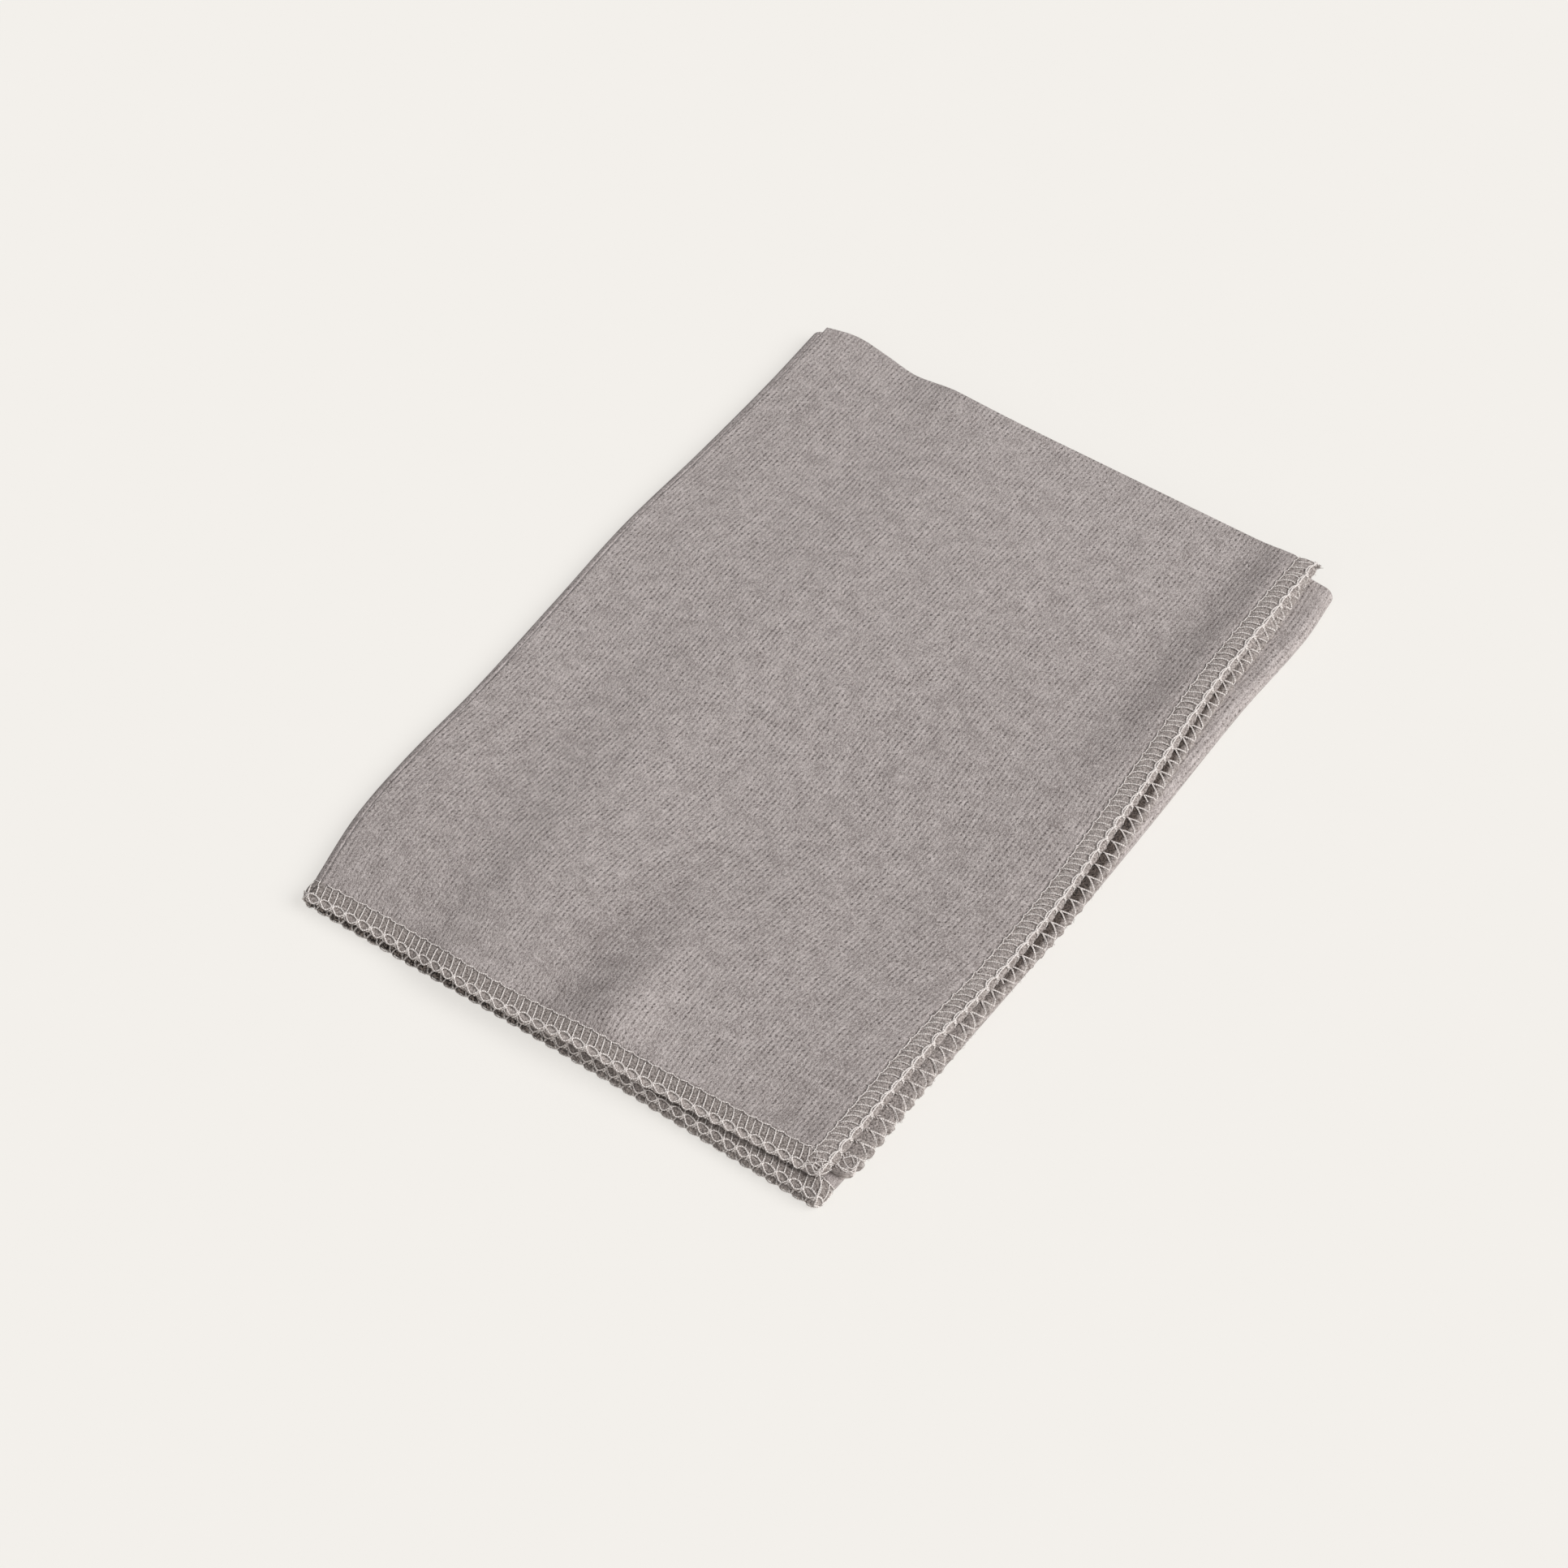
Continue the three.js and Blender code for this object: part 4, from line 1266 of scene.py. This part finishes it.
# %% Lay the base and the tucked panel
base_distance = np.concatenate([
    graded(UNDER_RUN, 2.0) * UNDER_RUN,
    np.linspace(UNDER_RUN, TURN_END, 13)[1:],
    TURN_END + graded(OVER_RUN, 2.0)[1:] * OVER_RUN,
])
base_grid = base_place(base_distance[None, :], *ROW_COLUMNS)
flat, to_front = flat_places(-FOLD_RUN - base_distance, base_grid)
half = seam_thickness(to_front, base_distance[-1] - base_distance)
base_cloth = cloth_body("base_cloth", base_grid[:, ::-1], flat[:, ::-1], half[:, ::-1], cotton)
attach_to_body(base_cloth, "folded_base")
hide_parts("base_and_tucked_panel")
print("base cloth's points", len(base_cloth.data.vertices))

# %% Wrap the left fold
fold_shares = np.concatenate([np.linspace(0.0, 0.42, 6), np.linspace(0.46, 0.54, 9),
                              np.linspace(0.58, 1.0, 6)])
fold_grid = fold_place(fold_shares[None, :], *ROW_COLUMNS)
flat, to_front = flat_places(-fold_shares * FOLD_RUN, fold_grid)
half = seam_thickness(to_front, np.full_like(fold_shares, LAYER * 2))
fold_cloth = cloth_body("left_fold_cloth", fold_grid[:, ::-1], flat[:, ::-1], half[:, ::-1], cotton)
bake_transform(fold_cloth)
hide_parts("left_fold")
print("left fold's points", len(fold_cloth.data.vertices))

# %% [markdown]
# ## Sewing the hems on
# Each hem could be one long piece, but it is cut where the left fold begins and ends, so
# that the parts on the flap and on the base can move with their own panel, while the parts
# on the fold are attached to neither. The fabric of a side hem turns each corner, and the
# threads of the front hem run on across it, as they do on the cloth. At the corners the
# seam's ends hang out in slack loops.

# %% Shape the ends of the hems
CORNER_RADIUS = 3.2
SQUEEZE = 1.2


def rounded_ends(hem):
    def ends(at):
        left = np.minimum(at, hem.total - at)
        turn = CORNER_RADIUS - np.clip(left, 0.0, CORNER_RADIUS)
        arc = np.sqrt(CORNER_RADIUS ** 2 - turn ** 2)
        shrink = (EDGING_WIDTH - CORNER_RADIUS + arc) / EDGING_WIDTH
        flat = np.sqrt(1.0 - (1.0 - np.clip(left / SQUEEZE, 0.0, 1.0)) ** 2 * 0.96)
        sink = CURL * np.clip(1.0 - at / EDGING_WIDTH, 0.0, 1.0) ** CURL_POWER
        return shrink, flat, sink
    return ends


print("corners rounded to", CORNER_RADIUS, "mm")

# %% Loop the loose ends at the front right corner
CORNER_LOOPS = [
    ([(-3.4, 3.6, 0.9), (-1.2, 2.2, 1.2), (0.4, 0.2, 0.9), (-1.4, -0.6, 0.7), (-2.4, 1.0, 1.0),
      (-0.4, 2.6, 1.2), (1.2, 3.4, 0.8)], 1.0),
    ([(-4.6, 1.4, 0.8), (-2.6, 0.2, 0.9), (-0.6, -0.9, 0.5), (0.9, 0.3, 0.4),
      (1.6, 2.2, 0.3)], 1.0),
    ([(-0.8, 0.4, 0.7), (0.4, -0.9, 0.2), (1.5, -2.0, -0.9), (2.0, -3.2, -2.0),
      (1.6, -4.3, -2.8)], 1.1),
]
UNDER_LOOPS = [
    ([(-3.2, 2.6, 0.6), (-1.4, 0.6, 0.9), (0.6, 0.2, 0.6), (0.9, 2.4, 0.5), (-0.6, 3.4, 0.9),
      (-2.6, 1.4, 0.7)], 1.0),
    ([(-4.4, 0.8, 0.5), (-2.2, -0.7, 0.6), (0.0, -0.9, 0.2), (1.2, 0.9, 0.2),
      (0.8, 3.8, 0.5)], 1.0),
]
LOOSE_THREAD = 0.85


def loose_threads(corner, loops):
    """Smooth threads through a few places round a corner, each with its own thickness."""
    threads = []
    for stops, thick in loops:
        stops = corner + np.array(stops)
        at = np.linspace(0.0, 1.0, len(stops))
        share = np.linspace(0.0, 1.0, 6 * len(stops))
        points = [follow(np.stack([at, stops[:, k]], axis=-1), share) for k in range(3)]
        points = np.stack(points, axis=-1)[None]
        threads.append(tube(points, THREAD_SIDES, LOOSE_THREAD * THREAD_RADIUS * thick))
    return threads


corner = outer_hem.read(outer_path, 1.0) + np.array([0.0, -4.6, 0.2])
corner_loops = loose_threads(corner, CORNER_LOOPS)
under_corner = top_side_hem.place(np.array(top_side_hem.total - 2.0), 0.62, 0.5)
under_loops = loose_threads(under_corner, UNDER_LOOPS)
print("loose threads at the front right corner:", len(corner_loops) + len(under_loops))

# %% Attach a hem to its body, or leave it in place on the fold
def on_flap(piece):
    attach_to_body(piece, "top_flap")


def on_base(piece):
    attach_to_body(piece, "folded_base")


def on_fold(piece):
    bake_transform(piece)


TUCK = EDGING_WIDTH - 1.0
END_GAP = 0.8
print("a side hem's threads end", END_GAP, "mm before the corners of its fabric")

# %% Make the pieces of one length of hem
def hem_pieces(name, hem, node, attach, fabric_run, thread_run, knit=hem_cotton, ends=None,
               loose=(), tufts=()):
    """The fabric and the threads of one length of hem. Each run is two places along the hem."""
    fabric = hem_fabric(name, hem, *fabric_run, knit, ends, tufts)
    sewing = gather([overlock(hem, *thread_run), *loose])
    threads = mesh_object(name + "_threads", *sewing, cream_thread)
    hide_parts(node)
    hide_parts(node)
    for piece in (fabric, threads):
        attach(piece)
    print(name, len(fabric.data.vertices), "points, its threads", len(threads.data.vertices))
    return [fabric, threads]


# %% Sew the hems of the flap
TUFT_AT = 220.5
top_pieces = hem_pieces("top_front_hem", outer_hem, "top_front_edging", on_flap,
                        (TUCK, outer_left), (1.0, outer_left), loose=corner_loops)
top_pieces += hem_pieces("top_inner_hem", inner_hem, "top_inner_edging", on_flap,
                         (TUCK, inner_left), (1.0, inner_left))
back_corner = top_side_hem.place(np.array(TUFT_AT), 0.48) + np.array([-0.2, 1.0, 0.3])
top_pieces += hem_pieces("top_side_hem", top_side_hem, "top_side_edging", on_flap,
                         (0.0, top_side_hem.total), (END_GAP, top_side_hem.total - END_GAP),
                         side_hem_cotton, rounded_ends(top_side_hem), under_loops,
                         [tuft(back_corner, (0.6, 0.3, 0.4))])
print("points in the flap's hems", sum(len(piece.data.vertices) for piece in top_pieces))

# %% Sew the hems of the fold and of the base
fold_pieces = hem_pieces("left_fold_outer_hem", outer_hem, "left_fold_outer_edging", on_fold,
                         (outer_left, outer_base), (outer_left, outer_base))
fold_pieces += hem_pieces("left_fold_inner_hem", inner_hem, "left_fold_inner_edging", on_fold,
                          (inner_left, inner_base), (inner_left, inner_base))
base_pieces = hem_pieces("base_front_hem", outer_hem, "base_front_edging", on_base,
                         (outer_base, outer_end - TUCK), (outer_base, outer_end - 1.0),
                         shaded_hem_cotton)
base_pieces += hem_pieces("base_inner_hem", inner_hem, "base_inner_edging", on_base,
                          (inner_base, inner_end - TUCK), (inner_base, inner_end - 1.0))
base_pieces += hem_pieces("tucked_side_hem", tucked_side_hem, "tucked_side_edging", on_base,
                          (0.0, tucked_side_hem.total), (END_GAP, tucked_side_hem.total - END_GAP),
                          ends=rounded_ends(tucked_side_hem))
sewn_pieces = top_pieces + fold_pieces + base_pieces
print("points in all hems", sum(len(piece.data.vertices) for piece in sewn_pieces))

print("three parts of one sheet, 435 by 448 mm")

# %% [markdown]
# ## The floor and the light
# The photograph shows the cloth cut out on a cream ground, lit softly from the right. A
# curved backdrop isn't needed, because the camera looks down, so a wide plane takes the
# weak shadow. Its cream comes partly from a glow that only the camera sees, so that no
# more light falls on the cloth. The world gives even light from all sides, one broad lamp
# gives the folds their light and dark flanks, and a faint one lifts the front edges.

# %% Lay the floor
FLOOR_GLOW = 0.72
FLOOR_HALF = 4.0
FLOOR_TONES = ((243, 240, 235), (246, 243, 238))
floor_paint = Paint("cream_floor")
floor_place = floor_paint.node("ShaderNodeTexCoord").outputs["Object"]
floor_colour = toned(floor_paint, floor_paint.noise(floor_place, 40.0, 2.0), FLOOR_TONES)
floor_paint.feed(floor_paint.shader.inputs["Base Color"], floor_colour)
floor_paint.shader.inputs["Roughness"].default_value = 0.9
floor_paint.shader.inputs["Specular IOR Level"].default_value = 0.1
glow = floor_paint.node("ShaderNodeEmission")
glow.inputs["Color"].default_value = from_bytes(*FLOOR_TONES[1])
seen = floor_paint.node("ShaderNodeLightPath").outputs["Is Camera Ray"]
joined = floor_paint.node("ShaderNodeMixShader")
floor_paint.feed(joined.inputs[0], floor_paint.times(seen, FLOOR_GLOW))
floor_paint.feed(joined.inputs[1], floor_paint.shader.outputs[0])
floor_paint.feed(joined.inputs[2], glow.outputs[0])
floor_paint.feed(floor_paint.tree.nodes["Material Output"].inputs["Surface"], joined.outputs[0])
floor_mesh = bpy.data.meshes.new("floor")
square = [(-1, -1), (1, -1), (1, 1), (-1, 1)]
floor_corners = [(FLOOR_HALF * x, FLOOR_HALF * y, 0) for x, y in square]
floor_mesh.from_pydata(floor_corners, [], [(0, 1, 2, 3)])
floor_mesh.materials.append(floor_paint.material)
floor = bpy.data.objects.new("floor", floor_mesh)
bpy.context.collection.objects.link(floor)
print("floor", 2 * FLOOR_HALF, "m wide")

# %% Light the scene
WORLD_LIGHT = 0.29
world = bpy.data.worlds.new("studio")
world.use_nodes = True
world.node_tree.nodes["Background"].inputs["Color"].default_value = (1.0, 0.985, 0.99, 1.0)
world.node_tree.nodes["Background"].inputs["Strength"].default_value = WORLD_LIGHT
bpy.context.scene.world = world


def far_lamp(name, energy, width, *turn):
    """A lamp so far away that all its light comes one way. width softens its shadows."""
    data = bpy.data.lights.new(name, "SUN")
    data.energy = energy
    data.angle = width
    lamp = bpy.data.objects.new(name, data)
    lamp.rotation_euler = [math.radians(degrees) for degrees in turn]
    bpy.context.collection.objects.link(lamp)


far_lamp("broad_lamp", 2.65, 0.7, -11.0, 48.0, 0.0)
far_lamp("front_fill", 0.55, 1.2, 66.0, 0.0, 10.0)
bpy.context.scene.view_settings.view_transform = "Standard"
print("one broad lamp from the right and a faint one from the front")
